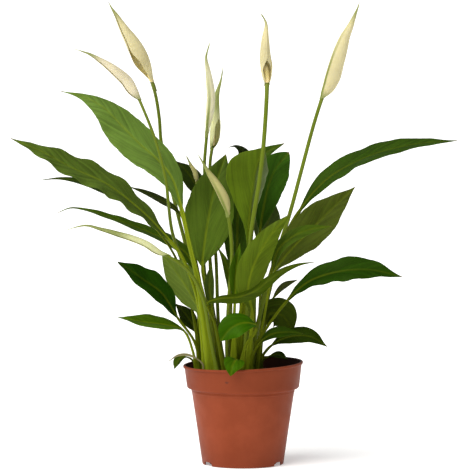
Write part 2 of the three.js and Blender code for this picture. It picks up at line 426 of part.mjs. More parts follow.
// A spathe is rolled round the line of its stalk, wide enough to clear the stalk at its foot
function spatheGeometry(flower) {
  const { curve, total, shareAt } = routeCurve(plantRoute(flower));
  const start = shareAt(flower.node) - flower.runsDown / total;
  const face = new THREE.Vector3(...flower.opens);
  const stalkRoll = flower.radii[1] + SPATHE_GAP + SPATHE_HALF;
  const rings = [];
  let tip = null;
  for (let step = 0; step <= SPATHE_STEPS; step += 1) {
    const share = (step / SPATHE_STEPS) ** SPATHE_CROWDING;
    const frame = sectionFrame(curve, mix(start, 1, share), face);
    const spread = outline(share, flower.widest, flower.ends);
    const halfWidth = Math.max(SPATHE_FOOT_HALF, (flower.width / 2) * spread);
    const smallest = Math.max(SPATHE_TIP_ROLL, stalkRoll * (SEAT_START - SEAT_FALL * share));
    const roll = Math.max(halfWidth / flower.wrap, Math.min(stalkRoll, smallest));
    const lean = SPATHE_LEAN * Math.max(0, roll - stalkRoll);
    if (step === SPATHE_STEPS) {
      tip = place(frame, 0, lean - roll);
      break;
    }
    rings.push(turns(SPATHE_SIDES).map((turn) => {
      const round = (Math.cos(turn) * halfWidth) / roll;
      const radius = roll - SPATHE_HALF * Math.sin(turn);
      return place(frame, radius * Math.sin(round), lean - radius * Math.cos(round));
    }));
  }
  return loft(rings, tip);
}

function spadixGeometry(flower) {
  const { curve, total, shareAt } = routeCurve(plantRoute(flower));
  const [length, radius] = flower.spadix;
  const start = shareAt(flower.node) + SPADIX_GAP / total;
  const face = new THREE.Vector3(...flower.opens);
  const rings = SPADIX_PROFILE.map(([share, size]) => {
    const frame = sectionFrame(curve, start + (share * length) / total, face);
    return turns(STALK_SIDES).map((turn) =>
      place(frame, size * radius * Math.cos(turn), size * radius * Math.sin(turn)));
  });
  return loft(rings, curve.getPointAt(start + length / total));
}

function toManifold(geometry) {
  const bare = geometry.clone();
  bare.deleteAttribute('normal');
  bare.deleteAttribute('uv');
  const merged = mergeVertices(bare, SAME_POINT);
  return new wasm.Manifold(new wasm.Mesh({
    numProp: 3,
    vertProperties: new Float32Array(merged.attributes.position.array),
    triVerts: new Uint32Array(merged.index.array),
  }));
}

function fromManifold(solid) {
  const mesh = solid.getMesh();
  const geometry = new THREE.BufferGeometry();
  geometry.setAttribute('position', new THREE.BufferAttribute(mesh.vertProperties, 3));
  geometry.setIndex(new THREE.BufferAttribute(mesh.triVerts, 1));
  geometry.computeVertexNormals();
  return geometry;
}

// A solid of revolution round +Z from [radius, height] points that start and end on the axis
function revolve(profile, sides) {
  const geometry = new THREE.LatheGeometry(profile.map((point) => new THREE.Vector2(...point)), sides);
  geometry.rotateX(Math.PI / 2);
  return toManifold(geometry);
}

// The inside of the pot, from the middle of its floor to the rim, moved in by clearance
function potInside(clearance) {
  const inset = POT_WALL + clearance;
  const channelInner = BASE_RADIUS - CHANNEL_WIDTH - POT_WALL;
  return [
    [0, inset],
    [channelInner - clearance, inset],
    [channelInner + CHANNEL_SLOPE - clearance, CHANNEL_HEIGHT + inset],
    [BASE_RADIUS + WALL_RISE - inset, CHANNEL_HEIGHT + inset],
    [BODY_TOP_RADIUS - inset, BODY_HEIGHT + inset],
    [COLLAR_RADIUS - inset, BODY_HEIGHT + STEP_HEIGHT + inset],
  ];
}

function potSolid() {
  const channelOuter = BASE_RADIUS - POT_WALL;
  const channelInner = BASE_RADIUS - CHANNEL_WIDTH;
  const profile = [
    [0, 0],
    [channelInner - CHANNEL_SLOPE, 0],
    [channelInner, CHANNEL_HEIGHT],
    [channelOuter, CHANNEL_HEIGHT],
    [channelOuter, 0],
    [BASE_RADIUS, 0],
    [BODY_TOP_RADIUS, BODY_HEIGHT],
    [COLLAR_RADIUS, BODY_HEIGHT + STEP_HEIGHT],
    [COLLAR_TOP_RADIUS, LIP_BOTTOM],
    [LIP_RADIUS, LIP_BOTTOM],
    [LIP_RADIUS, POT_HEIGHT],
    [COLLAR_TOP_RADIUS - POT_WALL, POT_HEIGHT],
    [COLLAR_TOP_RADIUS - POT_WALL, LIP_BOTTOM],
    ...potInside(0).reverse(),
  ];
  let solid = revolve(profile, POT_SIDES);
  for (const angle of NOTCH_ANGLES) {
    const notch = new THREE.BoxGeometry(CHANNEL_WIDTH, NOTCH_WIDTH, 2 * CHANNEL_HEIGHT);
    notch.translate(BASE_RADIUS, 0, 0);
    notch.rotateZ(radians(angle));
    solid = solid.subtract(toManifold(notch));
  }
  for (let hole = 0; hole < DRAIN_HOLES; hole += 1) {
    const depth = POT_WALL + CHANNEL_HEIGHT;
    const drill = new THREE.CylinderGeometry(DRAIN_HOLE_RADIUS, DRAIN_HOLE_RADIUS, depth, DRAIN_SIDES);
    drill.rotateX(Math.PI / 2);
    drill.translate((channelInner + channelOuter) / 2, 0, CHANNEL_HEIGHT + POT_WALL / 2);
    drill.rotateZ(((hole + 0.5) / DRAIN_HOLES) * 2 * Math.PI);
    solid = solid.subtract(toManifold(drill));
  }
  return solid;
}

// Soil fills the pot, less its fit, up to a flat surface below the rim
function soilSolid() {
  return revolve([...potInside(SOIL_FIT), [soilRadius(), SOIL_TOP], [0, SOIL_TOP]], POT_SIDES);
}

const lily = new THREE.Group();

function addPiece(parent, name, geometry, finish) {
  const mesh = new THREE.Mesh(geometry, new THREE.MeshStandardMaterial(finish));
  mesh.name = name;
  parent.add(mesh);
}

addPiece(lily, 'pot', fromManifold(potSolid()), finishes.pot);
addPiece(lily, 'potting_soil', fromManifold(soilSolid()), finishes.soil);

const plant = new THREE.Group();
plant.position.z = SOIL_TOP + PLANT_GAP;
lily.add(plant);

for (const leaf of leaves) {
  addPiece(plant, `leaf_${leaf.name}`, leafGeometry(leaf), finishes.leaf);
}

for (const flower of flowers) {
  addPiece(plant, `stalk_${flower.number}`, stalkGeometry(flower), finishes.stalk);
  addPiece(plant, `spathe_${flower.number}`, spatheGeometry(flower), finishes.spathe);
  if (flower.spadix) {
    addPiece(plant, `spadix_${flower.number}`, spadixGeometry(flower), finishes.spadix);
  }
}

export default lily;
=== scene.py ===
import math

import bpy
import numpy as np
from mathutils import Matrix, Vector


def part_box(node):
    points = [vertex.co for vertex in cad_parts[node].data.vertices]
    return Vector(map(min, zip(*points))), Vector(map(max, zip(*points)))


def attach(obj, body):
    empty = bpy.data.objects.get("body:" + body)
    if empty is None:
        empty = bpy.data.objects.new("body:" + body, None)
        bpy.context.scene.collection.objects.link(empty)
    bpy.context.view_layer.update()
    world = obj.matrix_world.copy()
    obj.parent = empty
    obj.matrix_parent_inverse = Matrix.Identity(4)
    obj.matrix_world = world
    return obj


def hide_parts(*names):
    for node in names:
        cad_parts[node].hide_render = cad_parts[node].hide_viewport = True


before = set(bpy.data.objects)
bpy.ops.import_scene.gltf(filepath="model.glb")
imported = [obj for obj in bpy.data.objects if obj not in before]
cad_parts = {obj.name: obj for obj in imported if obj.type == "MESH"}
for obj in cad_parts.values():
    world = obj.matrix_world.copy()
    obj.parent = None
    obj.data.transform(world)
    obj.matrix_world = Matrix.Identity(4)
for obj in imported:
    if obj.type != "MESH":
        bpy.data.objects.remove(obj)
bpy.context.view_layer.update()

# Millimetres throughout, with the plant measured from the middle of the soil's surface
MM = 0.001
SOIL_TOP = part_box("potting_soil")[1][2] / MM
POT_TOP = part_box("pot")[1][2] / MM
PLANT_BASE = SOIL_TOP + 0.35
TURN = 2 * math.pi
SINK = 5.0                      # how far stems reach down into the soil
EDGE_HALF = 0.22                # half of a blade's thickness at its margin
SPATHE_HALF = 0.22              # half of a spathe's thickness
STEM_STEP = 5                   # between rings along a stem or petiole
BLADE_STEP = 1.6                # between rings along a blade
STEM_SIDES = 18
VEIN_SLOPE = 2.5                # how fast a vein runs towards the tip as it leaves the midrib
FLORET_RADIUS = 0.98
FLORETS_PER_MM = 7.5
GOLDEN_ANGLE = 2.399963

# name, linear colour (the leaf's own green, made darker for leaves that sit in shade: painted shade),
# painted shade fade (above 0 it darkens towards its foot, below 0 towards its tip), width, widest, fold in
# degrees, powers of the outline at its two ends, petiole radii, neck, wave, sheath (extra width, top),
# faces (one direction, or one at the neck and one at the tip), route
LEAVES = [
    ("upper_left", (0.092, 0.158, 0.024), 0.15, 41, 0.5, -10, (1, 2), (3.3, 2), 4, 0.6, (1, 0.7),
     ((0.15, -0.85, 0.5), (0.1, -0.8, 0.6)),
     [(-31, -13, 0), (-36.3, -13.4, 47), (-44.3, -15.9, 92.8), (-54.3, -17.5, 135.5),
      (-62.4, -14.6, 171.5), (-71.5, -6, 200.1), (-85.6, 2.1, 217.6), (-102.9, 10.5, 232),
      (-123.2, 21, 251.5), (-140.5, 29.4, 268), (-161, 39.9, 278.4), (-185.6, 50.4, 283.8)]),
    ("left_long", (0.068, 0.11, 0.013), 0.55, 31, 0.53, 12, (1, 1.4), (2.4, 1.7), 5, 2.4, (1.2, 0.6),
     ((0.1, -0.6, 0.8), (0, -0.75, 0.65)),
     [(-36, -7, 0), (-39.3, -7, 41.2), (-45.4, -7.4, 76.7), (-53.4, -8.3, 102.2), (-64.4, -12.3, 125.8),
      (-75.5, -16.2, 139.4), (-95.5, -21.2, 162.1), (-135.4, -31.5, 195.2), (-171.2, -39.5, 213),
      (-201, -44.1, 229.4), (-232.9, -46.2, 243.7)]),
    ("left_hidden", (0.02, 0.04, 0.004), 0, 11, 0.5, 10, (1, 1.6), (1.5, 1.1), 4, 0.2, (0.6, 0.45),
     ((0, -0.5, 0.85),),
     [(-44, 9, 0), (-47.5, 12.4, 44.1), (-62.7, 18.5, 104.5), (-78.9, 21, 134.7), (-98.1, 19.3, 156.2),
      (-126.2, 13.2, 178.1), (-164.4, 8, 194.8), (-184.6, 6, 198.5), (-203.7, 4, 197.2)]),
    ("left_dark", (0.048, 0.098, 0.004), 0, 17, 0.3, 12, (1, 1.5), (1.8, 1.3), 2, 0.45, (0.8, 0.5),
     ((0, -0.45, 0.85),),
     [(-42, 15, 0), (-44.5, 15, 38.7), (-47.6, 28.9, 96.3), (-56.8, 37.9, 117.8), (-74.1, 41.6, 130.7),
      (-94.4, 41.5, 139.9), (-119.7, 37.9, 150.4), (-144.9, 33.9, 160), (-163, 29, 165.5),
      (-175, 23.7, 167), (-188.1, 21.5, 162.1)]),
    ("left_thin", (0.03, 0.045, 0.006), 0, 14, 0.5, 10, (1, 1.6), (1.6, 1.1), 3, 0.2, (0.6, 0.45),
     ((0, -0.35, 0.95),),
     [(-36, 14, 0), (-40.5, 18.4, 74), (-51.6, 28.5, 128.9), (-63.8, 35.7, 159.8), (-81.1, 40.9, 171.6),
      (-99.4, 40.3, 180.8), (-116.6, 39.3, 188)]),
    ("back_left", (0.02, 0.035, 0.004), 0, 22, 0.45, 10, (1, 1.6), (1.7, 1.2), 3, 0.45, (0.6, 0.45),
     ((0.3, -0.8, 0.5),),
     [(-20, 26, 0), (-31.4, 34.3, 72.3), (-35.5, 48.7, 142.3), (-39.6, 52.5, 172.5),
      (-49.8, 53.7, 190.8), (-59.9, 56, 203.9), (-70.1, 56.7, 213)]),
    ("left_underside", (0.124, 0.186, 0.03), -0.2, 33, 0.5, 8, (1, 1.1), (1.9, 1.4), 2, 0.45, (1, 0.7),
     ((0.2, 0.95, 0.2), (0.2, 0.9, 0.3)),
     [(-34, 0, 0), (-37.4, 0, 30.2), (-42.4, 1.1, 60.6), (-53.5, 2.5, 82.8), (-67.6, 2.8, 104.1),
      (-81.7, 1.5, 122.4)]),
    ("left_low", (0.01, 0.041, 0.001), 0.2, 29, 0.48, 14, (1, 1.2), (1.7, 1.2), 2, 1.2, (0.6, 0.45),
     ((0.4, -0.7, 0.6), (0.3, -0.75, 0.6)),
     [(-42, -6, 0), (-48.4, -8, 33.2), (-66.5, -13.4, 60.1), (-82.5, -20.3, 85.2),
      (-101.5, -27.2, 100.1), (-126.3, -38.4, 118.9)]),
    ("left_bottom", (0.055, 0.122, 0.002), 0, 23, 0.5, 12, (1, 1.6), (1.6, 1.1), 2, 0.45, (0.6, 0.45),
     ((0, -0.5, 0.87),),
     [(-46, 0, 0), (-50.5, -2, 23.3), (-59.5, -4.1, 44.9), (-78.6, -10.6, 51.7), (-98.7, -16.2, 54.9),
      (-126.8, -22.3, 61.1)]),
    ("over_rim_left", (0.03, 0.06, 0.002), 0, 9, 0.5, 20, (1, 1.2), (1.2, 0.8), 2, 0.3, (0.2, 0.4),
     ((0, -0.6, 0.8), (-0.6, -0.6, 0.5)),
     [(-48, 6, 0), (-50.5, 5, 13.4), (-57.6, 3, 17.7), (-63.7, 1, 15.9), (-69.7, 0, 5.8)]),
    ("dry_strip", (0.24, 0.21, 0.1), 0, 4.5, 0.4, 10, (1, 1.6), (0.9, 0.7), 2, 0.2, (0.1, 0.4),
     ((0, -0.4, 0.9), (-0.2, -0.4, 0.9)),
     [(-41, -15, 0), (-40.3, -15, 11.6), (-46.4, -13, 17.5), (-56.5, -10, 21.2), (-66.6, -8, 20),
      (-75.7, -7, 13.8)]),
    ("over_rim_front", (0.03, 0.083, 0.0003), 0, 20, 0.45, 8, (1, 1.2), (1.3, 1), 2, 0.6, (0.3, 0.4),
     ((0.1, -0.5, 0.87), (0, -0.9, 0.3)),
     [(-8, -34, 0), (-7.1, -38, 13.4), (-6.1, -47, 20.5), (-8.1, -57, 20.7), (-11.1, -66, 15.2),
      (-12.6, -69, 6.5)]),
    ("front_bent", (0.023, 0.076, 0.0003), 0, 27, 0.56, 8, (1.1, 1.2), (1.8, 1.3), 3, 0.45, (0.9, 0.6),
     ((0, -0.65, 0.75), (0.1, -0.85, 0.5)),
     [(-2, -31, 0), (3, -34, 34.1), (11, -38.2, 45.7), (13, -44.4, 54.5), (4.9, -49.6, 58.1),
      (-5.1, -53.4, 57), (-14.6, -55.6, 51.2), (-22.6, -58, 40.4)]),
    ("front_arched", (0.027, 0.047, 0.0006), 0, 14, 0.36, -16, (0.7, 1.5), (1.7, 1.3), 3, 0.2, (0.6, 0.45),
     ((0, -0.6, 0.8), (0, -0.7, 0.7)),
     [(-17, -25, 0), (-24.2, -27, 33.3), (-28.7, -31.4, 57.1), (-35.7, -38.4, 76), (-25.1, -43.2, 81.6),
      (-4.1, -44.9, 83.8), (13, -46.4, 90.5), (26, -47.5, 101.2), (40, -46.8, 110.7),
      (56, -45.1, 116.5), (72.1, -42.7, 118.8)]),
    ("front_right", (0.064, 0.098, 0.005), 0, 29, 0.42, -12, (1, 1.2), (2.3, 1.6), 2, 0.8, (1.5, 0.7),
     ((0.15, -0.9, 0.3), (0.2, -0.85, 0.45)),
     [(3, -20, 0), (7, -20, 32.5), (9, -23, 66.3), (5, -28.4, 89.1), (9, -31.3, 109.6),
      (17, -30.7, 127.7), (30.1, -28.3, 147.6), (47.1, -25, 165.4)]),
    ("right_band", (0.04, 0.073, 0.004), 0, 14, 0.55, 10, (1, 1.4), (1.5, 1.2), 3, 0.2, (0.6, 0.45),
     ((-0.2, -0.8, 0.6),),
     [(13, -10, 0), (17.1, -10, 31.4), (24.2, -13.5, 77.4), (29.2, -14.1, 105.8), (36.2, -18.7, 129.5),
      (51.3, -16.4, 142.4), (68.4, -11.8, 148.5), (89.6, -6.8, 151.6)]),
    ("right_long", (0.022, 0.053, 0.002), 0, 31, 0.42, 10, (1, 1.2), (2.2, 1.6), 4, 0.45, (0.6, 0.4),
     ((-0.2, -0.55, 0.8), (0, -0.45, 0.9)),
     [(12, 16, 0), (18.3, 18.6, 43.4), (32.5, 28.4, 103.5), (46.7, 33.8, 145.7), (58.9, 38.1, 164.7),
      (71.1, 40.3, 180.8), (88.3, 40.4, 197.1), (108.5, 37.8, 209.5), (136.5, 25.2, 222.7),
      (170.7, 18.9, 231.4), (216.9, 10.5, 236.7)]),
    ("right_broad", (0.055, 0.075, 0.007), -0.3, 40, 0.5, 10, (1, 1.4), (2.1, 1.5), 3, 1, (0.8, 0.5),
     ((-0.1, -0.8, 0.6), (0, -0.8, 0.6)),
     [(10, 0, 0), (15.2, 1, 45.3), (23.2, 5.3, 90.6), (32.4, 9.9, 105.4), (47.5, 13.9, 124.3),
      (66.8, 16.7, 143.3), (89, 19.9, 165.3), (113.8, 23.5, 188.9)]),
    ("right_low", (0.011, 0.037, 0.0005), 0.2, 29, 0.58, 12, (1.2, 1.4), (1.9, 1.3), 4, 1.2, (0.9, 0.5),
     ((-0.2, -0.75, 0.65), (0, -0.7, 0.7)),
     [(6, -12, 0), (9.1, -13, 24.6), (19.1, -14, 42), (32.2, -15.7, 61.4), (44.3, -15.9, 76.6),
      (56.3, -16.9, 88.9), (69.4, -19, 98.2), (95.4, -23.9, 106.8), (125.5, -28.4, 109.3),
      (160.5, -33, 102.7)]),
    ("right_front", (0.014, 0.036, 0.0003), 0, 15, 0.4, 12, (1, 1.6), (1.6, 1.2), 2, 0.2, (0.9, 0.5),
     ((0, -0.6, 0.8), (0, -0.7, 0.7)),
     [(8, -22, 0), (10, -23, 21.7), (18.1, -25, 36.1), (29.1, -28.1, 44.1), (44.2, -31.5, 46.5),
      (60.2, -34.3, 45.8)]),
    ("right_shaded", (0.014, 0.03, 0.0005), 0, 22, 0.5, 10, (1, 1.6), (1.6, 1.2), 2, 0.45, (0.6, 0.45),
     ((0, -0.6, 0.8), (0.3, -0.7, 0.6)),
     [(14, -6, 0), (19.2, -7, 18.8), (29.3, -8, 31.1), (47.4, -10, 39.5), (67.5, -13, 39.8),
      (85.6, -17, 30.1)]),
    ("right_dark", (0.028, 0.045, 0.003), 0, 32, 0.48, 10, (1, 1), (1.8, 1.3), 2, 0.45, (0.6, 0.45),
     ((0.1, -0.9, 0.3), (0.2, -0.85, 0.4)),
     [(17, 8, 0), (19.2, 9, 34.3), (22.3, 10.6, 49.4), (27.3, 11.4, 60.5), (38.5, 10.2, 59.6),
      (50.6, 6.2, 43.7)]),
    ("pot_small", (0.015, 0.03, 0.001), 0, 9, 0.45, 10, (1, 1.6), (1.2, 0.9), 2, 0.2, (0.6, 0.45),
     ((0, -0.6, 0.8),),
     [(19, 4, 0), (20.2, 3, 14.6), (27.3, 1, 18.9), (36.4, -1, 20.2), (45.5, -3, 16.3)]),
    ("back_right_small", (0.05, 0.06, 0.02), 0, 7, 0.5, 10, (1, 1.6), (1.3, 1), 2, 0.2, (0.6, 0.45),
     ((0, -0.7, 0.7),),
     [(16, 22, 0), (19.3, 26.6, 47.6), (31.5, 33.6, 75.4), (41.7, 35.6, 86.4), (55.9, 35.3, 93.1)]),
    ("centre_broad", (0.076, 0.128, 0.011), -0.6, 49, 0.42, 8, (1, 1.1), (2.3, 1.6), 3, 0.45, (1, 0.6),
     ((0, -1, 0.1), (0, -0.95, 0.3)),
     [(-22, 8, 0), (-26.3, 8, 34.4), (-35.4, 9.8, 74.9), (-40.9, 11.6, 109.3), (-38.4, 12.9, 135.5),
      (-34.3, 14.2, 160.8), (-28.3, 19.6, 188.7), (-17.2, 29.4, 221.4)]),
    ("centre_dark", (0.036, 0.075, 0.006), 0, 32, 0.45, 8, (1, 1.2), (1.8, 1.4), 2, 0.45, (1.5, 0.7),
     ((0, -1, 0.1), (0, -1, 0.2)),
     [(-11, 19, 0), (-10.1, 19, 38.2), (-7.1, 26.5, 88.4), (-6, 32.6, 123.4), (-5, 39.1, 158.5),
      (-1, 45.3, 188.5), (10.2, 50.4, 212.5), (25.4, 50.4, 222.7), (42.7, 50.4, 230.8)]),
    ("centre_bright", (0.086, 0.138, 0.006), -0.4, 48, 0.74, -34, (2.6, 1.3), (3.2, 1.7), 3, 0.45,
     (1.1, 0.9),
     ((0.55, -0.83, 0.05), (0.5, -0.85, 0.15)),
     [(-5, -7, 0), (-4, -7, 36.1), (1, -6.1, 76.6), (5, -3, 121.9), (5.5, 0, 146.9), (7.6, 1.8, 172.1),
      (10.1, 2, 191.3), (13.1, 2.1, 209.5), (21.7, 4.2, 230.5)]),
    ("centre_shaded", (0.027, 0.078, 0.005), 0.2, 33, 0.66, 8, (1, 0.9), (1.9, 1.4), 3, 0.45, (1.3, 0.7),
     ((0.1, -0.95, 0.2), (0.1, -0.95, 0.3)),
     [(8, 26, 0), (9.2, 28.9, 42.2), (13.3, 46.9, 101.6), (17.4, 60.5, 141.1), (21.5, 68.1, 166),
      (26.6, 73.2, 187.1), (33.8, 77, 203.1), (47, 77.7, 219.4)]),
    ("back_centre", (0.018, 0.03, 0.008), 0, 15, 0.5, 10, (1, 1.6), (1.5, 1.1), 3, 0.2, (0.6, 0.45),
     ((0, -0.9, 0.3), (0, -0.5, -0.8)),
     [(-5, 29, 0), (-3, 32, 41.9), (-1, 47.5, 111.7), (1.1, 60, 171.9), (3.1, 64.5, 204.2),
      (0.1, 63, 221.7), (-7.1, 58.8, 227.1), (-15.6, 54.6, 225.9)]),
    ("back_right", (0.06, 0.09, 0.02), 0, 27, 0.5, 10, (1, 1.1), (1.5, 1.1), 3, 0.45, (0.6, 0.45),
     ((0, -1, 0.2),),
     [(16, 34, 0), (16.3, 40.6, 51.1), (19.4, 59.7, 100.3), (21, 70.3, 121.8), (24.6, 78.4, 143.5),
      (32.8, 85.3, 166.5)]),
    ("left_inner", (0.02, 0.035, 0.003), 0, 18, 0.5, 10, (1, 1.6), (1.5, 1), 2, 0.45, (0.6, 0.45),
     ((0.2, -0.7, 0.6),),
     [(-40, 24, 0), (-42.6, 25, 27.3), (-47.6, 26.5, 40.4), (-56.8, 29, 55.5), (-68.9, 30.2, 69.6)]),
    ("centre_narrow", (0.05, 0.08, 0.01), 0, 10, 0.5, 8, (1, 1.6), (1.3, 1), 2, 0.2, (1.3, 0.7),
     ((0.3, -0.9, 0.2),),
     [(-22, -4, 0), (-25.2, -4, 30.7), (-31.3, -3.5, 68.2), (-34.3, -2.6, 91.4), (-31.3, 0, 114.5)]),
    ("centre_arching", (0.03, 0.055, 0.003), 0, 8, 0.5, 10, (1, 1.6), (1.5, 1.2), 2, 0.2, (1.2, 0.6),
     ((0, -0.95, 0.2), (0, -0.9, 0.4)),
     [(-14, 0, 0), (-13.1, 0, 30.2), (-12.1, 1.2, 75.8), (-14.1, 2.8, 100), (-18.7, 3, 116.2),
      (-26.2, 3.2, 130.4)]),
    ("centre_young", (0.04, 0.09, 0.002), 0, 13, 0.5, 25, (1, 1.6), (1.5, 1.1), 2, 0.2, (1.6, 0.7),
     ((0, -0.95, 0.2),),
     [(-10, -15, 0), (-9.1, -15, 31.9), (-8.1, -17.2, 77.8), (-7.1, -18.3, 106.2), (-3, -17.5, 135.5)]),
]

# number, radii, node, spathe (width, widest, end powers, wrap, opens, runs down),
# closure (radians, from), tint, spadix (length, radius), route
FLOWERS = [
    (1, (2.1, 1.7), 8, (38, 0.37, (2.4, 1.6), 2.4, (-0.72, -0.62, -0.3), 12), (3.12, 0.34), "cream",
     (20, 2.5),
     [(-29, 17, 0), (-36.5, 21.7, 43), (-53.8, 48.6, 109.6), (-66.2, 67.5, 155.8), (-76.5, 85.5, 195.2),
      (-83.8, 94.5, 230.4), (-85.2, 88.2, 251.4), (-88.6, 79.8, 275.5), (-92.6, 71.4, 291.4),
      (-97.1, 67.2, 307), (-103.1, 65.1, 321.9), (-110.2, 63, 334.3), (-118.7, 60.9, 346.1),
      (-128.8, 59.9, 360.9), (-137.4, 58.8, 374.2)]),
    (2, (2, 1.4), 8, (31, 0.24, (0.8, 2), 2.8, (-0.55, -0.45, -0.7), 3), (3.1, 0), "blush", None,
     [(-39, 7, 0), (-41.4, 8.3, 44.5), (-53.6, 9.3, 90.2), (-65.7, 9.3, 125.7), (-71.6, 0, 145.9),
      (-75.3, -22.5, 179.3), (-77.3, -28, 198.9), (-87.2, -29.4, 238.3), (-104.7, -27.3, 282.3),
      (-110.2, -27.3, 293.4), (-115.2, -27.3, 301.4), (-123.7, -29.4, 309.1), (-134.1, -31.5, 316.2),
      (-145.1, -32.6, 322.3), (-156, -33.6, 327.9), (-171, -35.7, 332)]),
    (3, (1.9, 1.6), 6, (21, 0.38, (1, 1.8), 2.5, (0.3, 0.9, 0.1), 10), (3.4, 0.1), "ivory", (12, 1.7),
     [(-25, 20, 0), (-29.4, 21.7, 43), (-33.4, 29.7, 113.5), (-37.5, 33.7, 174.2), (-39, 35.7, 210.7),
      (-37.9, 33.6, 227.1), (-35.9, 31.5, 247.6), (-33.9, 29.4, 266), (-33, 29.4, 279.2),
      (-34.4, 29.4, 294.4), (-36.1, 29.4, 308.6), (-37.4, 29.4, 319.2), (-32.5, 29.4, 336.9)]),
    (4, (1.9, 1.6), 5, (24, 0.2, (0.6, 1.8), 2.4, (0.6, -0.75, 0.1), 3), (3.4, 0.25), "pale", (12, 2.1),
     [(-18, 20, 0), (-24.3, 22.7, 42.9), (-27.3, 32.7, 113.2), (-31.4, 45, 173.2), (-33.5, 52.5, 208.3),
      (-31.1, 54.6, 227.4), (-29.6, 56.7, 241.6), (-28.4, 56.7, 261.9), (-26.4, 56.7, 279.2),
      (-22.3, 56.7, 294.5), (-19.9, 56.7, 309.3)]),
    (5, (2.4, 2.1), 6, (27, 0.3, (0.8, 1.7), 2.35, (0.2, -0.95, 0.1), 4), (3.3, 0.22), "cream", (19, 3.3),
     [(1, -11, 0), (3, -11, 36.6), (6, -14.2, 87.6), (8, -16.4, 142.4), (16.5, -18, 199.1),
      (21, -16.8, 239.3), (24, -16.8, 296.6), (23, -16.8, 309.7), (22, -16.8, 324.8),
      (22.5, -16.8, 339.8), (23, -16.8, 356.9), (17, -16.8, 367.9)]),
    (6, (2.3, 1.8), 6, (36, 0.28, (0.75, 1.5), 2.4, (0.8, 0.6, -0.1), 4), (3.4, 0.1), "cream", (19, 2.2),
     [(8, -4, 0), (13.1, -4, 40.8), (23.2, -5.2, 86.6), (47.3, -5.4, 164.6), (58.4, -4.1, 206),
      (71.4, -2.1, 254.3), (80.5, 0, 282.9), (84.3, 0, 292.9), (87.8, 0, 304.5), (91.5, 0, 316.6),
      (95.8, 0, 328.7), (101, 0, 341.8), (108.5, 0, 355.4), (117.8, 0, 377.5)]),
    (7, (2.2, 1.9), 5, (24, 0.3, (1, 1.8), 2.6, (0.5, 0.85, 0.1), 5), (3.12, -0.1), "green", (12, 1.9),
     [(-15, -10, 0), (-16.1, -11, 31.5), (-14.1, -13.5, 77.4), (-11.1, -15, 120), (-12.1, -14.8, 143.3),
      (-15.5, -16.2, 166.6), (-18.8, -16.7, 176.8), (-22.8, -17.3, 185.9), (-28.2, -15.9, 195.9),
      (-33.9, -16.3, 205), (-39.4, -16.8, 214.6), (-45.8, -16.8, 226.2)]),
    (8, (1.3, 1.1), 4, (12, 0.3, (1, 1.8), 2.6, (0.3, -0.9, 0.1), 3), (3.12, 0), "green", None,
     [(-31, 24, 0), (-33.4, 24.8, 42.7), (-40.5, 35.6, 123.1), (-45.6, 36.8, 168.9),
      (-46.6, 35.9, 193.4), (-48.6, 37, 202.4), (-52.7, 35.7, 209.7), (-58, 35.7, 220.3)]),
    (9, (2.2, 1.5), 5, (17, 0.2, (1, 1.6), 2.8, (-0.3, -0.4, -0.85), 11), (3.1, 0), "pale", None,
     [(-25, -18, 0), (-33.2, -19, 42.5), (-40.2, -23.4, 79.5), (-53.3, -26.6, 106.1),
      (-71.3, -28.4, 120.9), (-83.4, -29.1, 127), (-96.4, -30.2, 136.2), (-111.4, -31, 142.3),
      (-126.4, -31.5, 146.4), (-141.5, -32, 150.5), (-158.4, -34.2, 154.7), (-178.5, -33.5, 149.1)]),
]

DRY = (0.24, 0.21, 0.1)

# linear colour, and the share of its length from which a spathe turns green
SPATHE_TINTS = {
    "cream": ((0.6, 0.53, 0.29), 0.72),
    "ivory": ((0.7, 0.66, 0.42), 0.66),
    "blush": ((0.68, 0.6, 0.4), 0.6),
    "pale": ((0.58, 0.59, 0.3), 0.34),
    "green": ((0.4, 0.37, 0.14), 0.6),
}


# --- curves ---

class Route:
    """A smooth centripetal line through the points, read by the share of its length."""

    def __init__(self, points, per_span=40):
        pts = [np.array(p, float) for p in points]
        ends = [2 * pts[0] - pts[1]] + pts + [2 * pts[-1] - pts[-2]]
        out = []
        for i in range(1, len(ends) - 2):
            p0, p1, p2, p3 = ends[i - 1:i + 3]
            d0, d1, d2 = np.sqrt(np.linalg.norm([p1 - p0, p2 - p1, p3 - p2], axis=1))
            m1 = ((p1 - p0) / d0 - (p2 - p0) / (d0 + d1) + (p2 - p1) / d1) * d1
            m2 = ((p2 - p1) / d1 - (p3 - p1) / (d1 + d2) + (p3 - p2) / d2) * d1
            t = (np.arange(per_span) / per_span)[:, None]
            out.append(p1 + m1 * t + (-3 * p1 + 3 * p2 - 2 * m1 - m2) * t ** 2
                       + (2 * p1 - 2 * p2 + m1 + m2) * t ** 3)
        self.points = np.vstack(out + [pts[-1][None]])
        steps = np.linalg.norm(np.diff(self.points, axis=0), axis=1)
        self.lengths = np.concatenate([[0], np.cumsum(steps)])
        self.total = self.lengths[-1]
        self.per_span = per_span
        self.tangents = np.gradient(self.points, self.lengths, axis=0)

    def share_at(self, index):
        return self.lengths[self.per_span * index] / self.total

    def read(self, shares):
        where = np.clip(shares, 0, 1) * self.total
        at = np.stack([np.interp(where, self.lengths, self.points[:, k]) for k in range(3)], 1)
        along = np.stack([np.interp(where, self.lengths, self.tangents[:, k]) for k in range(3)], 1)
        along /= np.linalg.norm(along, axis=1)[:, None]
        below = np.clip(-np.asarray(shares), 0, None) * self.total
        at[:, 2] -= below
        return at, along


def sections(route, shares, faces):
    """Points, sideways and outward directions, with the outward side looking along faces."""
    at, along = route.read(shares)
    side = np.cross(faces, along)
    side /= np.linalg.norm(side, axis=1)[:, None]
    out = np.cross(along, side)
    return at, side, out


def smooth(low, high, x):
    t = np.clip((x - low) / (high - low), 0, 1)
    return t * t * (3 - 2 * t)


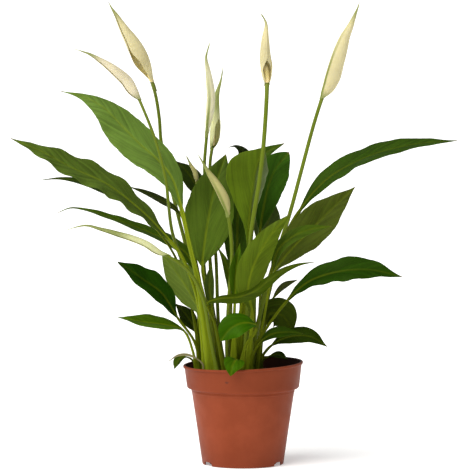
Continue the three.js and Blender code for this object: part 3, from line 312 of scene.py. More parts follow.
def outline(share, widest, powers):
    """0 at both ends and 1 where it is widest; an end with a power over 1 is drawn out."""
    share = np.clip(share, 0, 1)
    low = share < widest
    near = np.where(low, share / widest, (1 - share) / (1 - widest))
    power = np.where(low, *powers)
    return near ** power * (1 + power * (1 - near))


# --- meshes ---

def put(name, data):
    piece = bpy.data.objects.new(name, data)
    bpy.context.scene.collection.objects.link(piece)
    return piece


def mesh_from(name, points, faces):
    mesh = bpy.data.meshes.new(name)
    mesh.from_pydata((np.array(points) * MM).tolist(), [], faces)
    return mesh


def add_mesh(name, solid, material, node, fields, base=0.0, sharp=None):
    """A closed piece from the points and faces of a loft, which stands for a CAD node."""
    points, faces = solid
    mesh = mesh_from(name, points + [0, 0, base], faces)
    for key, values in fields.items():
        layer = mesh.attributes.new(key, "FLOAT_VECTOR", "POINT")
        layer.data.foreach_set("vector", np.asarray(values, np.float32).ravel())
    mesh.polygons.foreach_set("use_smooth", [True] * len(mesh.polygons))
    if sharp is not None:
        pairs = np.empty(2 * len(mesh.edges), np.int32)
        mesh.edges.foreach_get("vertices", pairs)
        marks = mesh.attributes.new("sharp_edge", "BOOLEAN", "EDGE")
        marks.data.foreach_set("value", sharp(pairs.reshape(-1, 2)))
    mesh.materials.append(material)
    mesh.validate()
    piece = put(name, mesh)
    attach(piece, "root")
    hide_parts(node)
    return piece


def add_plant(node, solid, material, fields, sharp=None):
    add_mesh("lily_" + node, solid, material, node, fields, PLANT_BASE, sharp)


def loft(rings, start, tip):
    """Points and faces of a solid through rings, closed by a point at each end."""
    count, sides = rings.shape[:2]
    points = np.vstack([rings.reshape(-1, 3), start, tip])
    first, last = count * sides, count * sides + 1
    faces = []
    for ring in range(count - 1):
        a = ring * sides
        for k in range(sides):
            n = (k + 1) % sides
            faces.append((a + k, a + n, a + sides + n, a + sides + k))
    top = (count - 1) * sides
    for k in range(sides):
        n = (k + 1) % sides
        faces.append((first, n, k))
        faces.append((last, top + k, top + n))
    return points, faces


def per_point(channels, ends=None):
    """Three channels as one vector for each point of a loft, with those of its two end points."""
    inside = np.stack(np.broadcast_arrays(*channels), 2).reshape(-1, 3)
    return np.vstack([inside, inside[[0, -1]] if ends is None else ends])


def place(frames, across, outward):
    at, side, out = frames
    return at[:, None] + side[:, None] * across[..., None] + out[:, None] * outward[..., None]


def sheet_columns(half_count):
    """Angles round a section, with shares across it that crowd towards the midrib."""
    step = (np.arange(half_count) + 0.5) / half_count
    turn = np.concatenate([np.pi * step, np.pi + np.pi * step])
    line = 1 - 2 * np.arange(half_count) / (half_count - 1)
    line = np.sign(line) * np.abs(line) ** 1.35
    across = np.concatenate([line, line[::-1]])
    return turn, across


def margin_edges(sides, first_blade_ring, count):
    """Says which edges run along a blade's margins."""
    half = sides // 2
    columns = np.array([0, half - 1, half, sides - 1])

    def chosen(pairs):
        col = pairs % sides
        row = pairs // sides
        same = col[:, 0] == col[:, 1]
        margin = np.isin(col[:, 0], columns)
        blade = (row >= first_blade_ring).all(axis=1) & (row < count).all(axis=1)
        return same & margin & blade
    return chosen


def leaf_piece(row, index):
    name, colour_with_shade, painted_shade_fade, width, widest, fold, ends, radii, neck_point = row[:9]
    wave, (sheath_width, sheath_top), faces_at, points = row[9:]
    route = Route(points)
    neck = route.share_at(neck_point)
    total = route.total

    # rings up the petiole, then along the blade
    columns = 18 if width > 25 else 13 if width > 12 else 9
    turn, u = sheet_columns(columns)
    above = np.sin(turn) > 0
    stem_steps = max(10, round(neck * total / STEM_STEP))
    blade_steps = int(np.clip(round((1 - neck) * total / BLADE_STEP), 30, 150))
    stem = np.concatenate([[-SINK / total], neck * np.arange(stem_steps) / stem_steps])
    v_blade = np.linspace(0, 1, blade_steps + 1)[:-1] ** 1.1
    shares = np.concatenate([stem, neck + (1 - neck) * v_blade])
    v = np.concatenate([np.zeros(len(stem)), v_blade])
    toward = np.array(faces_at, float)
    faces = toward[0] + (toward[-1] - toward[0]) * v[:, None]
    frames = sections(route, shares, faces)

    # a round petiole, wider where its sheath clasps the next one, that flattens into the blade
    half = width / 2 * outline(v, widest, ends)
    along = (shares - neck) * total
    climb = np.clip(shares / neck, 0, 1)
    stem_radius = radii[0] + (radii[1] - radii[0]) * climb
    stem_radius = stem_radius * (1 + 0.22 * np.exp(-((along + 7) / 4.5) ** 2))
    rib = np.where(v > 0, radii[1] + (0.32 - radii[1]) * v ** 0.7, stem_radius)
    sheath = (1 - smooth(0.35 * sheath_top, sheath_top, climb))[:, None]
    flat = smooth(0.2, 3.2, half / radii[1])[:, None]
    half, rib, v2, along2 = half[:, None], rib[:, None], v[:, None], along[:, None]
    round_x = np.cos(turn) * (half + rib * (1 + sheath_width * sheath))
    x = (1 - flat) * round_x + flat * u * (half + EDGE_HALF)
    channel = np.where(above, 0.42 * np.exp(-(np.cos(turn) / 0.42) ** 2), 0)
    groove = channel * (0.5 + 0.5 * climb[:, None])
    round_y = np.sin(turn) * rib * (1 - groove)
    ridge = np.exp(-(x / (0.85 * rib + 0.15)) ** 2)
    upper = EDGE_HALF - 0.3 * rib * ridge
    lower = -EDGE_HALF - 0.85 * rib * ridge
    thick = (1 - flat) * round_y + flat * np.where(above, upper, lower)

    # swells between the veins, the fold along the midrib, and ripples towards the margins
    size = min(1.0, width / 30)
    spacing = 7.0 + 6.0 * size
    reach = np.abs(x)
    vein = (along2 - VEIN_SLOPE * reach - 0.05 * reach ** 2) / spacing
    inner = 1 - np.abs(u) ** 3
    quilt = 0.09 * size * flat * inner * (0.5 - 0.5 * np.cos(TURN * vein)) * smooth(0.4, 2.5, reach)
    lift = math.tan(math.radians(fold))
    soft = 1.3 * rib
    bend = lift * (np.sqrt(x ** 2 + soft ** 2) - soft)
    arch = 0.05 * half * 4 * np.abs(u) * (1 - np.abs(u)) * (1 if fold > 0 else 0.6)
    rng = np.random.default_rng(100 + index)
    phase = rng.uniform(0, TURN, 4)
    length = rng.uniform(24, 38, 2)

    def swing(wavelength, offset):
        return np.sin(TURN * along2 / wavelength + offset)

    rolls = np.where(u > 0, swing(length[0], phase[0]), swing(length[1], phase[1]))
    ripple = wave * rolls * np.abs(u) ** 2.4 * np.sqrt(np.clip(np.sin(np.pi * v2), 0, 1)) * flat
    nicks = swing(17, phase[2]) + 0.6 * swing(7.3, phase[3])
    edge = 1 + flat * 0.012 * np.abs(u) ** 3 * nicks
    y = thick + flat * (bend + arch + quilt + ripple)
    rings = place(frames, x * edge, y)
    solid = loft(rings, frames[0][0] - [0, 0, 0.5], route.points[-1])
    veins = per_point((vein, reach / 10, along2 / 100))
    height = np.where(v2 > 0, v2, -1 + climb[:, None])
    spots = per_point((np.abs(u), height, np.where(above, 0, 1)), [[0, -1, 0], [0, 1, 0]])
    first = len(stem) + int(np.argmax(flat[len(stem):, 0] > 0.3))
    add_plant("leaf_" + name, solid, leaf_material(name, colour_with_shade, painted_shade_fade, index),
              {"veins": veins, "spot": spots}, margin_edges(len(turn), first, len(shares)))


def stalk_piece(row):
    number, radii, node, _, _, _, _, points = row
    route = Route(points)
    end = route.share_at(node)
    steps = round(end * route.total / STEM_STEP)
    shares = np.concatenate([[-SINK / route.total], end * np.arange(steps + 1) / steps])
    climb = np.clip(shares / end, 0, 1)
    at, along = route.read(shares)
    frames = sections(route, shares, (0.1, -1, 0.05))
    radius = radii[0] + (radii[1] - radii[0]) * climb
    radius = radius * (1 + 0.3 * np.clip(1 - climb / 0.12, 0, 1) + 0.12 * smooth(0.96, 1, climb))
    turn = TURN * np.arange(STEM_SIDES) / STEM_SIDES
    ribbed = radius[:, None] * (1 + 0.03 * np.cos(5 * turn + number))
    rings = place(frames, ribbed * np.cos(turn), ribbed * np.sin(turn))
    solid = loft(rings, at[0] - [0, 0, 0.5], at[-1] + along[-1] * 0.25)
    stem = per_point((turn / TURN, climb[:, None], shares[:, None] * route.total / 100),
                     [[0, 0, 0], [0, 1, end * route.total / 100]])
    add_plant("stalk_%d" % number, solid, stalk_look, {"stem": stem})


def spathe_piece(row):
    number, radii, node, spathe, (closed, shut_from), tint, _, points = row
    width, widest, ends, wrap, opens, runs_down = spathe
    route = Route(points)
    start = route.share_at(node) - runs_down / route.total
    steps = 90
    half_count = 30
    line = 1 - 2 * np.arange(half_count) / (half_count - 1)
    u = np.concatenate([line, line[::-1]])
    inner = np.repeat([1.0, 0.0], half_count)
    v = (np.arange(steps) / steps) ** 1.15
    shares = start + (1 - start) * v
    frames = sections(route, shares, opens)

    # how far the sheet reaches, rolled round the stalk at its foot and shut towards its tip
    flat = np.maximum(1.5 * (1 - v) ** 3, width / 2 * outline(v, widest, ends))
    clear = radii[1] + 0.35
    seat = np.maximum(0.5, np.minimum(clear, clear * (1.5 - 2 * v)))
    roll = np.maximum(flat / wrap, seat)
    shut = 1 + (closed / wrap - 1) * smooth(shut_from, shut_from + 0.2, v)
    angle = np.minimum(flat / roll * shut, closed)
    turn = u * angle[:, None]
    lean = 0.7 * np.clip(roll - clear, 0, None)[:, None]
    lap = 0.55 * u * (smooth(2.7, 3.2, angle) * np.clip(roll / 2.5, 0, 1))[:, None]
    flare = 0.1 * np.abs(u) ** 4 * roll[:, None] * (1 - smooth(shut_from, shut_from + 0.3, v))[:, None]
    crease = 0.035 * np.sin(3 * turn + 7 * v[:, None] + number) + 0.02 * np.sin(17 * v[:, None] + 2 * turn)
    keel = 0.3 * np.exp(-(turn * roll[:, None] / 0.9) ** 2) * (1 - smooth(0.5, 0.9, v))[:, None]
    radius = roll[:, None] * (1 + crease * smooth(0.05, 0.25, v)[:, None]) + lap + flare
    radius = np.where(inner > 0, radius - SPATHE_HALF, radius + SPATHE_HALF + keel)
    rings = place(frames, radius * np.sin(turn), lean - radius * np.cos(turn))
    at, along = route.read([start, 1.0])
    base = rings[0].mean(axis=0) - along[0] * 0.3
    fields = per_point((u, v[:, None], inner), [[0, 0, 0], [0, 1, 0]])
    arc = per_point((turn * roll[:, None] / 10, shares[:, None] * route.total / 100, 0.0))
    add_plant("spathe_%d" % number, loft(rings, base, at[1]), spathe_looks[tint],
              {"spathe": fields, "arc": arc}, margin_edges(len(u), 3, steps))


def spadix_piece(row):
    number, _, node, spathe, _, _, spadix, points = row
    if spadix is None:
        return
    length, radius = spadix
    route = Route(points)
    start = route.share_at(node) + 0.2 / route.total
    steps, sides = 84, 72
    rise = np.linspace(0.0, 1.0, steps)
    shares = start + rise * 0.985 * length / route.total
    opens = spathe[4]
    frames = sections(route, shares, opens)
    body = np.interp(rise, [0, 0.05, 0.12, 0.35, 0.65, 0.86, 0.96, 1.0],
                     [0.5, 0.74, 0.9, 1.0, 0.93, 0.66, 0.36, 0.14])
    turn = TURN * np.arange(sides) / sides
    florets = int(length * FLORETS_PER_MM)
    k = np.arange(florets)
    around = (k * GOLDEN_ANGLE) % TURN
    height = (k + 0.5) / florets * length
    here = (rise * length)[:, None, None]
    gap = np.abs((turn[None, :, None] - around + np.pi) % TURN - np.pi)
    wide = gap * (body * radius)[:, None, None]
    spread = np.sqrt(wide ** 2 + (here - height) ** 2)
    bump = np.sqrt(np.clip(1 - (spread / FLORET_RADIUS) ** 2, 0, None)).max(axis=2)
    reach = (body * radius)[:, None] * 0.92 + 0.36 * bump * smooth(0, 0.06, rise)[:, None]
    rings = place(frames, reach * np.cos(turn), reach * np.sin(turn))
    at, along = route.read(shares[[0, -1]])
    solid = loft(rings, at[0], at[1] + along[1] * 0.2)
    floret = per_point((bump, rise[:, None], turn / TURN), [[0, 0, 0], [1, 1, 0]])
    add_plant("spadix_%d" % number, solid, spadix_look, {"floret": floret})


# --- materials ---

class Nodes:
    """Short names for the nodes that the materials share."""

    def __init__(self, name):
        self.material = bpy.data.materials.new(name)
        self.material.use_nodes = True
        self.tree = self.material.node_tree
        self.shader = self.tree.nodes["Principled BSDF"]
        self.colour = None

    def link(self, source, target):
        self.tree.links.new(source, target)

    def feed(self, socket, value):
        if isinstance(value, bpy.types.NodeSocket):
            self.link(value, socket)
        else:
            socket.default_value = value

    def fill(self, node, values):
        for key, value in values.items():
            self.feed(node.inputs[key], value)

    def field(self, name):
        node = self.tree.nodes.new("ShaderNodeAttribute")
        node.attribute_name = name
        return node.outputs["Vector"]

    def split(self, vector):
        node = self.tree.nodes.new("ShaderNodeSeparateXYZ")
        self.link(vector, node.inputs[0])
        return node.outputs[0], node.outputs[1], node.outputs[2]

    def join(self, x, y, z):
        node = self.tree.nodes.new("ShaderNodeCombineXYZ")
        for socket, value in zip(node.inputs, (x, y, z)):
            self.feed(socket, value)
        return node.outputs[0]

    def position(self):
        return self.tree.nodes.new("ShaderNodeTexCoord").outputs["Object"]

    def math(self, operation, a, b=0.0):
        node = self.tree.nodes.new("ShaderNodeMath")
        node.operation = operation
        for socket, value in zip(node.inputs, (a, b)):
            self.feed(socket, value)
        return node.outputs[0]

    def times(self, a, b):
        return self.math("MULTIPLY", a, b)

    def plus(self, a, b):
        return self.math("ADD", a, b)

    def length(self, *parts):
        total = 0.0
        for part in parts:
            total = self.plus(total, self.math("POWER", part, 2.0))
        return self.math("SQRT", total)

    def ramp(self, value, low, high, to_low=0.0, to_high=1.0):
        node = self.tree.nodes.new("ShaderNodeMapRange")
        node.interpolation_type = "SMOOTHSTEP"
        self.fill(node, {"Value": value, "From Min": low, "From Max": high,
                         "To Min": to_low, "To Max": to_high})
        return node.outputs["Result"]

    def noise(self, vector, scale, detail=3.0, rough=0.5, distortion=0.0):
        node = self.tree.nodes.new("ShaderNodeTexNoise")
        self.fill(node, {"Vector": vector, "Scale": scale, "Detail": detail,
                         "Roughness": rough, "Distortion": distortion})
        return node.outputs["Fac"]

    def mix(self, factor, a, b):
        node = self.tree.nodes.new("ShaderNodeMix")
        node.data_type = "RGBA"
        self.feed(node.inputs[0], factor)
        for socket, value in zip((node.inputs[6], node.inputs[7]), (a, b)):
            self.feed(socket, value if isinstance(value, bpy.types.NodeSocket) else (*value, 1.0))
        return node.outputs[2]

    def bump(self, height, strength, distance):
        node = self.tree.nodes.new("ShaderNodeBump")
        self.fill(node, {"Strength": strength, "Distance": distance, "Height": height})
        self.link(node.outputs[0], self.shader.inputs["Normal"])

    def over(self, factor, colour):
        """Lays a colour over the one so far."""
        self.colour = self.mix(factor, self.colour, colour)

    def finish(self, rough, specular, subsurface=0.0, depth=0.001, tint=(1, 1, 1), sheen=(1, 1, 1)):
        self.fill(self.shader, {
            "Base Color": self.colour, "Roughness": rough, "Specular IOR Level": specular,
            "Specular Tint": (*sheen, 1.0), "Subsurface Weight": subsurface,
            "Subsurface Radius": tint, "Subsurface Scale": depth})
        return self.material


def shade(colour, factor):
    return tuple(channel * factor for channel in colour)


def leaf_material(name, light, painted_shade_fade, index):
    # light is the leaf's listed colour, which holds painted shade for leaves that sit in shade
    dark = shade(light, 0.62)
    n = Nodes("leaf_" + name)
    vein, rib_reach, along = n.split(n.field("veins"))
    across, share, under = n.split(n.field("spot"))
    where = n.position()
    patches = n.noise(where, 26 + index % 7, 4, 0.55)
    n.colour = n.mix(n.ramp(patches, 0.3, 0.7), dark, light)
    cells = n.noise(n.join(n.times(vein, 5.5), n.times(rib_reach, 1.6), along), 1.0, 3, 0.6)
    n.over(n.ramp(cells, 0.35, 0.75, 0.0, 0.4), shade(light, 1.25))
    # painted light and shade of the quilting: lighter and darker bands along the veins
    quilt_light_bands = n.noise(n.join(n.times(vein, 1.7), n.times(rib_reach, 0.5), along), 1.0, 2, 0.5)
    n.over(n.ramp(quilt_light_bands, 0.42, 0.66, 0.0, 0.55), shade(light, 1.28))
    n.over(n.ramp(quilt_light_bands, 0.3, 0.44, 0.45, 0.0), shade(dark, 0.8))
    groove = n.ramp(n.math("PINGPONG", vein, 0.5), 0.0, 0.13, 1.0, 0.0)
    groove = n.times(groove, n.ramp(across, 0.8, 0.98, 1.0, 0.0))
    swell_highlight = n.ramp(n.math("PINGPONG", vein, 0.5), 0.05, 0.5)
    # painted shade in the vein grooves and a painted highlight on the swells between them
    n.over(n.times(groove, 0.35), shade(dark, 0.85))
    n.over(n.times(swell_highlight, 0.12), shade(light, 1.2))
    # painted shade: darker towards the foot or the tip, where other leaves shade this one
    painted_shade_dim = n.ramp(share, 0.05, 0.5, painted_shade_fade, 0.0) if painted_shade_fade > 0 else n.ramp(share, 0.25, 0.85, 0.0, -painted_shade_fade)
    n.over(painted_shade_dim, shade(dark, 0.45))
    n.over(n.ramp(across, 0.955, 1.0, 0.0, 0.55), shade(light, 1.15))
    pale = tuple(0.4 * c + more for c, more in zip(light, (0.062, 0.092, 0.01)))
    beneath = n.mix(n.ramp(patches, 0.35, 0.7), shade(pale, 0.78), pale)
    beneath = n.mix(n.times(groove, 0.5), beneath, shade(pale, 1.35))
    n.over(n.ramp(under, 0.4, 0.6), beneath)
    rib = n.ramp(rib_reach, 0.06, 0.17, 1.0, 0.0)
    rib = n.times(rib, n.ramp(share, 0.0, 0.8, 1.0, 0.3))
    rib = n.math("MAXIMUM", rib, n.ramp(share, -0.04, 0.04, 1.0, 0.0))
    streaks = n.noise(n.join(n.times(rib_reach, 26), n.times(along, 2), 0.0), 1.0, 3, 0.6)
    # petiole and midrib colours scale with the leaf's colour, so they carry its painted shade too
    bright = min(1.0, max(0.45, light[1] / 0.11))
    stem_dark = shade((0.115, 0.155, 0.004), bright)
    stem_light = shade((0.235, 0.29, 0.01), bright)
    stem = n.mix(n.ramp(streaks, 0.3, 0.7), stem_dark, stem_light)
    if light == DRY:
        stem = n.mix(streaks, shade(DRY, 0.45), DRY)
    n.over(n.times(rib, n.ramp(share, -0.02, 0.12, 0.95, 0.6)), stem)
    tips = n.ramp(n.plus(share, n.times(patches, 0.03)), 0.985, 1.01)
    n.over(tips, (0.13, 0.1, 0.03))
    gloss = n.noise(where, 90, 3, 0.6)
    rough = n.plus(n.ramp(gloss, 0.25, 0.75, 0.4, 0.54), n.times(n.ramp(under, 0.4, 0.6), 0.16))
    grain = n.noise(where, 900, 2, 0.5)
    fine = n.noise(n.join(n.times(vein, 9), n.times(rib_reach, 1.5), along), 1.0, 2, 0.5)
    height = n.plus(n.times(groove, -0.55), n.times(fine, 0.35))
    height = n.plus(height, n.times(grain, 0.16))
    n.bump(height, 0.35, 0.0004)
    return n.finish(rough, specular=0.03 + 0.6 * min(light[1], 0.15), subsurface=0.05,
                    depth=0.0012, tint=(0.4, 1.0, 0.1), sheen=(0.75, 1.0, 0.25))


def stalk_material():
    n = Nodes("stalk_green")
    around, climb, along = n.split(n.field("stem"))
    where = n.position()
    lines = n.noise(n.join(n.times(around, 60), n.times(along, 1.5), 0.0), 1.0, 3, 0.6)
    n.colour = n.mix(n.ramp(lines, 0.3, 0.7), (0.075, 0.11, 0.006), (0.15, 0.2, 0.016))
    n.over(n.ramp(n.noise(where, 30), 0.35, 0.7, 0.0, 0.6), (0.1, 0.135, 0.012))
    n.over(n.ramp(climb, 0.0, 0.22, 0.7, 0.0), (0.165, 0.22, 0.014))
    n.over(n.ramp(climb, 0.93, 1.0, 0.0, 0.35), (0.22, 0.25, 0.06))
    rough = n.ramp(n.noise(where, 160), 0.3, 0.7, 0.4, 0.55)
    n.bump(n.plus(n.times(lines, 0.6), n.times(n.noise(where, 700, 2), 0.25)), 0.35, 0.0003)
    return n.finish(rough, specular=0.14, subsurface=0.05, tint=(0.4, 1.0, 0.1), sheen=(0.9, 1.0, 0.4))


def spathe_material(tint):
    base, turns = SPATHE_TINTS[tint]
    n = Nodes("spathe_" + tint)
    _, share, inner = n.split(n.field("spathe"))
    arc, along, _ = n.split(n.field("arc"))
    where = n.position()
    patches = n.noise(where, 55, 4, 0.55)
    n.colour = n.mix(n.ramp(patches, 0.3, 0.7), shade(base, 0.88), shade(base, 1.06))
    threads = n.noise(n.join(n.times(arc, 22), n.times(along, 2.2), 0.0), 1.0, 3, 0.6)
    n.over(n.ramp(threads, 0.35, 0.72, 0.0, 0.3), shade(base, 0.84))
    green = (0.15, 0.19, 0.03)
    midrib = n.ramp(n.math("ABSOLUTE", arc), 0.06, 0.22, 1.0, 0.0)
    midrib = n.times(midrib, n.ramp(share, 0.15, 0.8, 0.95, 0.15))
    midrib = n.times(midrib, n.ramp(inner, 0.4, 0.6, 1.0, 0.35))
    n.over(midrib, green)
    ends = n.plus(n.ramp(share, turns, turns + 0.21, 0.0, 0.85), n.ramp(share, 0.0, 0.13, 0.85, 0.0))
    n.over(ends, n.mix(n.ramp(threads, 0.3, 0.7), green, (0.23, 0.27, 0.07)))
    n.over(n.ramp(share, 0.965, 0.99), (0.06, 0.055, 0.02))
    rough = n.ramp(n.noise(where, 140), 0.3, 0.7, 0.42, 0.58)
    height = n.plus(n.times(threads, 0.7), n.times(n.noise(where, 600, 2), 0.3))
    n.bump(height, 0.35, 0.0003)
    return n.finish(rough, specular=0.2, subsurface=0.25, depth=0.002, tint=(1.0, 0.9, 0.5))


def spadix_material():
    n = Nodes("spadix_yellow")
    bump, _, _ = n.split(n.field("floret"))
    where = n.position()
    n.colour = n.mix(n.ramp(bump, 0.15, 0.75), (0.46, 0.34, 0.09), (0.8, 0.64, 0.28))
    n.over(n.ramp(bump, 0.86, 1.0, 0.0, 0.75), (0.9, 0.8, 0.52))
    n.over(n.ramp(n.noise(where, 160), 0.4, 0.7, 0.0, 0.4), (0.52, 0.48, 0.12))
    rough = n.ramp(n.noise(where, 400), 0.3, 0.7, 0.6, 0.85)
    n.bump(n.noise(where, 2200, 2), 0.4, 0.0002)
    return n.finish(rough, specular=0.25, subsurface=0.12, tint=(1.0, 0.8, 0.4))


def plastic_material():
    n = Nodes("pot_plastic")
    where = n.position()
    clouds = n.noise(where, 22, 5, 0.6)
    n.colour = n.mix(n.ramp(clouds, 0.3, 0.72), (0.212, 0.043, 0.017), (0.264, 0.057, 0.024))
    stretched = n.join(*[n.times(side, k) for side, k in zip(n.split(where), (90, 90, 9))])
    flow = n.noise(stretched, 1.0, 4, 0.6)
    n.over(n.ramp(flow, 0.45, 0.75, 0.0, 0.28), (0.215, 0.042, 0.018))
    dust = n.noise(where, 260, 4, 0.7)
    n.over(n.ramp(dust, 0.62, 0.8, 0.0, 0.3), (0.37, 0.11, 0.058))
    x, y, z = n.split(where)
    # painted shade: the collar is darker above the step, for the shadow the leaves cast on it
    n.over(n.ramp(z, 0.074, 0.081, 0.0, 0.45), (0.145, 0.029, 0.011))
    # painted shade: darker towards the bottom of the pot, to cut the light bounced up from the floor
    n.over(n.ramp(z, 0.0, 0.04, 0.45, 0.0), (0.145, 0.029, 0.012))
    away = [n.math("SUBTRACT", side, at) for side, at in zip((x, y, z), PLASTIC_MARK)]
    near = n.length(n.times(away[0], 0.55), away[1], away[2])
    smear = n.plus(near, n.times(n.math("SUBTRACT", n.noise(where, 900), 0.5), 0.0012))
    n.over(n.ramp(smear, 0.0004, 0.0016, 0.75, 0.0), (0.075, 0.03, 0.022))
    # inside of the mouth near-black: partly soil stain, partly painted shade of the pot's inside
    foot = (COLLAR_RADIUS - COLLAR_SLOPE * COLLAR_FOOT) * MM
    outside = n.plus(n.times(z, COLLAR_SLOPE), foot)
    depth = n.math("SUBTRACT", outside, n.length(x, y))
    soil_stain_and_shade = n.times(n.ramp(depth, 0.0005, 0.001), n.ramp(z, 0.079, 0.08))
    n.over(n.times(soil_stain_and_shade, n.ramp(clouds, 0.2, 0.8, 0.97, 0.88)), (0.012, 0.006, 0.004))
    rough = n.ramp(n.noise(where, 75, 4, 0.6), 0.3, 0.7, 0.42, 0.56)
    height = n.plus(n.times(n.noise(where, 1100), 0.5), n.times(flow, 0.5))
    n.bump(height, 0.22, 0.0002)
    return n.finish(rough, specular=0.1, sheen=(1.0, 0.6, 0.45))


def soil_material():
    n = Nodes("potting_soil")
    height, _, _ = n.split(n.field("crumb"))
    where = n.position()
    fibres = n.noise(where, 420, 5, 0.7, 0.6)
    n.colour = n.mix(n.ramp(fibres, 0.3, 0.75), (0.006, 0.004, 0.003), (0.042, 0.026, 0.016))
    n.over(n.ramp(height, 0.5, 1.0, 0.0, 0.5), (0.06, 0.038, 0.024))
    flecks = n.noise(where, 1300, 2, 0.6)
    n.over(n.ramp(flecks, 0.68, 0.74, 0.0, 0.6), (0.13, 0.085, 0.05))
    rough = n.ramp(fibres, 0.3, 0.7, 0.86, 1.0)
    n.bump(n.plus(fibres, n.times(flecks, 0.6)), 0.8, 0.0008)
    return n.finish(rough, specular=0.15)


# --- pot and soil ---

BASE_RADIUS = 41.0
BODY_TOP_RADIUS = 52.0
BODY_HEIGHT = 75.8
STEP_HEIGHT = 2.6
COLLAR_RADIUS = 56.6
COLLAR_TOP_RADIUS = 59.1
LIP_REACH = 1.3
LIP_HEIGHT = 2.6
WALL = 1.2
CHANNEL_WIDTH = 6.0
CHANNEL_HEIGHT = 4.0
NOTCH_WIDTH = 14.0
NOTCH_ANGLES = (90, 210, 330)
DRAIN_HOLES = 8
HOLE_SIDES = 16
HOLE_RADIUS = 2.0
RIM_SAG = 0.036                 # how far the rim leans down towards -X, per unit of x
COLLAR_FOOT = BODY_HEIGHT + STEP_HEIGHT
COLLAR_SLOPE = (COLLAR_TOP_RADIUS - COLLAR_RADIUS) / (POT_TOP - LIP_HEIGHT - COLLAR_FOOT)
PLASTIC_MARK = (-0.0165, -0.0555, 0.0885)
SOIL_GAP = 0.4                  # between the wall and the soil below its surface
CRUMBS = 900


def rounded(corners):
    """Profile points with every corner turned in an arc of its own radius."""
    out = []
    for index, (r, z, bend) in enumerate(corners):
        here = np.array([r, z])
        if bend == 0 or index in (0, len(corners) - 1):
            out.append(here)
            continue
        before = np.array(corners[index - 1][:2]) - here
        after = np.array(corners[index + 1][:2]) - here
        a = here + before / np.linalg.norm(before) * bend
        b = here + after / np.linalg.norm(after) * bend
        for t in np.linspace(0, 1, 5):
            out.append((1 - t) ** 2 * a + 2 * t * (1 - t) * here + t ** 2 * b)
    return np.array(out)


def pot_profile():
    channel = BASE_RADIUS - CHANNEL_WIDTH
    foot = BASE_RADIUS - WALL
    lip = POT_TOP - LIP_HEIGHT
    lip_radius = COLLAR_TOP_RADIUS + LIP_REACH
    mouth = COLLAR_TOP_RADIUS - WALL
    outer = [
        (channel - 1, 0, 0.6), (channel, CHANNEL_HEIGHT, 0.6), (foot, CHANNEL_HEIGHT, 0.5),
        (foot, 0, 0.35), (BASE_RADIUS, 0, 0.5), (BASE_RADIUS + 5.5, BODY_HEIGHT / 2, 0),
        (BODY_TOP_RADIUS - 0.35, BODY_HEIGHT - 3.2, 0.4),
        (BODY_TOP_RADIUS + 0.15, BODY_HEIGHT - 2.4, 0.4), (BODY_TOP_RADIUS, BODY_HEIGHT, 0.7),
        (COLLAR_RADIUS - 0.2, COLLAR_FOOT - 0.9, 1.1), (COLLAR_RADIUS + 0.4, BODY_HEIGHT + 6, 1.0),
        (COLLAR_TOP_RADIUS, lip, 0.7), (lip_radius, lip + 0.2, 0.8), (lip_radius, POT_TOP, 1.0),
        (mouth, POT_TOP, 0.5), (mouth, lip, 0.5),
    ]
    inner = [
        (COLLAR_RADIUS - WALL, COLLAR_FOOT + WALL, 1.6), (BODY_TOP_RADIUS - WALL, BODY_HEIGHT + WALL, 1.6),
        (foot + 0.5, CHANNEL_HEIGHT + WALL, 0.8), (channel - WALL + 1, CHANNEL_HEIGHT + WALL, 0.6),
        (channel - WALL, WALL, 0.6),
    ]
    return rounded([(0, 0, 0)] + outer + inner + [(0, WALL, 0)])


def turned(radius, height, sides):
    """Rings round the upright axis, from a column of radii and their heights."""
    ring = TURN * np.arange(sides) / sides
    return np.stack(np.broadcast_arrays(radius * np.cos(ring), radius * np.sin(ring), height), 2)


def prism_faces(sides):
    faces = [tuple(range(sides))[::-1], tuple(range(sides, 2 * sides))]
    for k in range(sides):
        n = (k + 1) % sides
        faces.append((k, n, sides + n, sides + k))
    return faces


def notch_shape(angle):
    radial = np.array([math.cos(angle), math.sin(angle)])
    sideways = np.array([-radial[1], radial[0]])
    points = []
    for reach in (BASE_RADIUS - CHANNEL_WIDTH / 2, BASE_RADIUS + CHANNEL_WIDTH / 2):
        for side, top in ((-0.5, -4), (0.5, -4), (0.5, 2.6), (0.4, 3.7), (-0.4, 3.7), (-0.5, 2.6)):
            flat = radial * reach + sideways * side * NOTCH_WIDTH
            points.append((flat[0], flat[1], top))
    return points, prism_faces(6)


def hole_shape(angle):
    middle = BASE_RADIUS - (CHANNEL_WIDTH + WALL) / 2
    cx, cy = middle * math.cos(angle), middle * math.sin(angle)
    ring = TURN * np.arange(HOLE_SIDES) / HOLE_SIDES
    points = [(cx + HOLE_RADIUS * math.cos(t), cy + HOLE_RADIUS * math.sin(t), z)
              for z in (2.0, 8.0) for t in ring]
    return points, prism_faces(HOLE_SIDES)


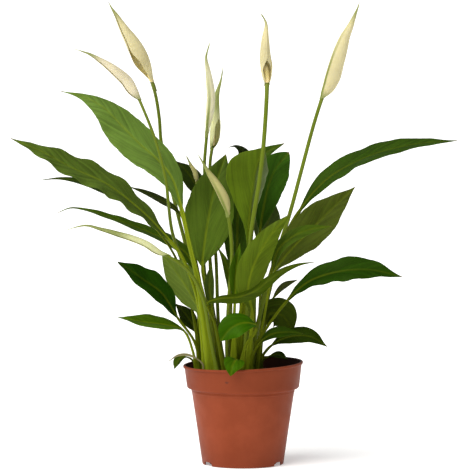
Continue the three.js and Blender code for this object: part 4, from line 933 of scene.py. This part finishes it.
def pot_piece():
    profile = pot_profile()
    rings = turned(profile[1:-1, :1], profile[1:-1, 1:], 160)
    points, faces = loft(rings, [0, 0, profile[0, 1]], [0, 0, profile[-1, 1]])
    turn = np.arctan2(points[:, 1], points[:, 0])
    height = points[:, 2] / POT_TOP
    push = 1 + height ** 2 * (0.004 * np.cos(2 * turn + 0.6) + 0.002 * np.cos(3 * turn))
    points[:, 0] *= push
    points[:, 1] *= push
    points[:, 2] += smooth(0.8, 1.0, height) * RIM_SAG * points[:, 0]
    pot = add_mesh("pot_body", (points, faces), plastic_material(), "pot", {})
    shapes = [notch_shape(math.radians(angle)) for angle in NOTCH_ANGLES]
    shapes += [hole_shape((k + 0.5) / DRAIN_HOLES * TURN) for k in range(DRAIN_HOLES)]
    cutters = [put("cutter", mesh_from("cutter", *shape)) for shape in shapes]
    for tool in cutters:
        cut = pot.modifiers.new("cut", "BOOLEAN")
        cut.operation = "DIFFERENCE"
        cut.solver = "EXACT"
        cut.object = tool
    graph = bpy.context.evaluated_depsgraph_get()
    mesh = bpy.data.meshes.new_from_object(pot.evaluated_get(graph))
    pot.modifiers.clear()
    pot.data = mesh
    mesh.polygons.foreach_set("use_smooth", [True] * len(mesh.polygons))
    mesh.set_sharp_from_angle(angle=math.radians(38))
    for tool in cutters:
        bpy.data.objects.remove(tool)


def soil_piece():
    rng = np.random.default_rng(7)
    rim = COLLAR_RADIUS + COLLAR_SLOPE * (SOIL_TOP - COLLAR_FOOT) - WALL - 0.3
    steps, sides = 80, 220
    reach = np.linspace(rim, 0.5, steps)
    surface = turned(reach[:, None], SOIL_TOP, sides)
    x, y = surface[..., 0], surface[..., 1]
    crumb = np.zeros_like(x)
    for _ in range(CRUMBS):
        radius = rng.uniform(1.0, 3.2)
        far = (rim - 1) * math.sqrt(rng.uniform(0, 1))
        angle = rng.uniform(0, TURN)
        apart = ((x - far * math.cos(angle)) ** 2 + (y - far * math.sin(angle)) ** 2) / radius ** 2
        crumb = np.maximum(crumb, 0.75 * radius * np.sqrt(np.clip(1 - apart, 0, None)))
    top = -0.9 + crumb * smooth(0, 3.0, rim - reach)[:, None] * 0.9
    top += 1.2 * smooth(rim - 9, rim, reach)[:, None]
    surface[..., 2] += top
    foot = CHANNEL_HEIGHT + WALL + 0.5
    wall = np.array([(BASE_RADIUS + 1.2 - WALL, foot),
                     (BODY_TOP_RADIUS - WALL - SOIL_GAP, BODY_HEIGHT + WALL),
                     (COLLAR_RADIUS - WALL - SOIL_GAP, COLLAR_FOOT + 7.6)])
    rings = np.concatenate([turned(wall[:, :1], wall[:, 1:], sides), surface])
    solid = loft(rings, [0, 0, foot], [0, 0, SOIL_TOP - 0.5])
    level = np.concatenate([np.zeros((len(wall), sides)), crumb / 2.4])
    add_mesh("soil_surface", solid, soil_material(), "potting_soil",
             {"crumb": per_point((level, 0.0, 0.0), [[0, 0, 0], [0, 0, 0]])})


# --- stage ---

def stage():
    scene = bpy.context.scene
    scene.view_settings.view_transform = "Standard"
    world = bpy.data.worlds.new("studio")
    world.use_nodes = True
    background = world.node_tree.nodes["Background"]
    background.inputs["Color"].default_value = (1.0, 1.0, 1.0, 1.0)
    background.inputs["Strength"].default_value = 0.36
    scene.world = world

    sides, radius, drop = 96, 60, 0.0004
    ring = [TURN * k / sides for k in range(sides)]
    points = [(radius * math.cos(t), radius * math.sin(t), -drop) for t in ring]
    mesh = bpy.data.meshes.new("floor")
    mesh.from_pydata(points, [], [tuple(range(sides))])
    floor = put("floor", mesh)
    n = Nodes("floor_paper")
    n.colour = n.mix(n.noise(n.position(), 3, 2), (0.95, 0.95, 0.95), (0.97, 0.97, 0.97))
    n.shader.inputs["Emission Color"].default_value = (1.0, 1.0, 1.0, 1.0)
    n.shader.inputs["Emission Strength"].default_value = 0.34
    mesh.materials.append(n.finish(0.9, specular=0.1))

    sun = bpy.data.lights.new("key", "SUN")
    sun.energy = 3.55
    sun.angle = math.radians(58)
    sun.color = (1.0, 0.985, 0.96)
    put("key", sun).rotation_euler = (math.radians(40), 0, math.radians(-47))

    distance, elevation = 6.0, math.radians(5.5)
    target = (-0.00807, 0.0, 0.2319)
    lens = bpy.data.cameras.new("camera")
    lens.lens = 455.7
    lens.clip_end = 200
    camera = put("camera", lens)
    camera.location = (target[0], target[1] - distance * math.cos(elevation),
                       target[2] + distance * math.sin(elevation))
    camera.rotation_euler = (math.radians(90) - elevation, 0, 0)
    scene.camera = camera


stage()
stalk_look = stalk_material()
spathe_looks = {tint: spathe_material(tint) for tint in SPATHE_TINTS}
spadix_look = spadix_material()
pot_piece()
soil_piece()
for order, leaf in enumerate(LEAVES):
    leaf_piece(leaf, order)
for flower in FLOWERS:
    stalk_piece(flower)
    spathe_piece(flower)
    spadix_piece(flower)
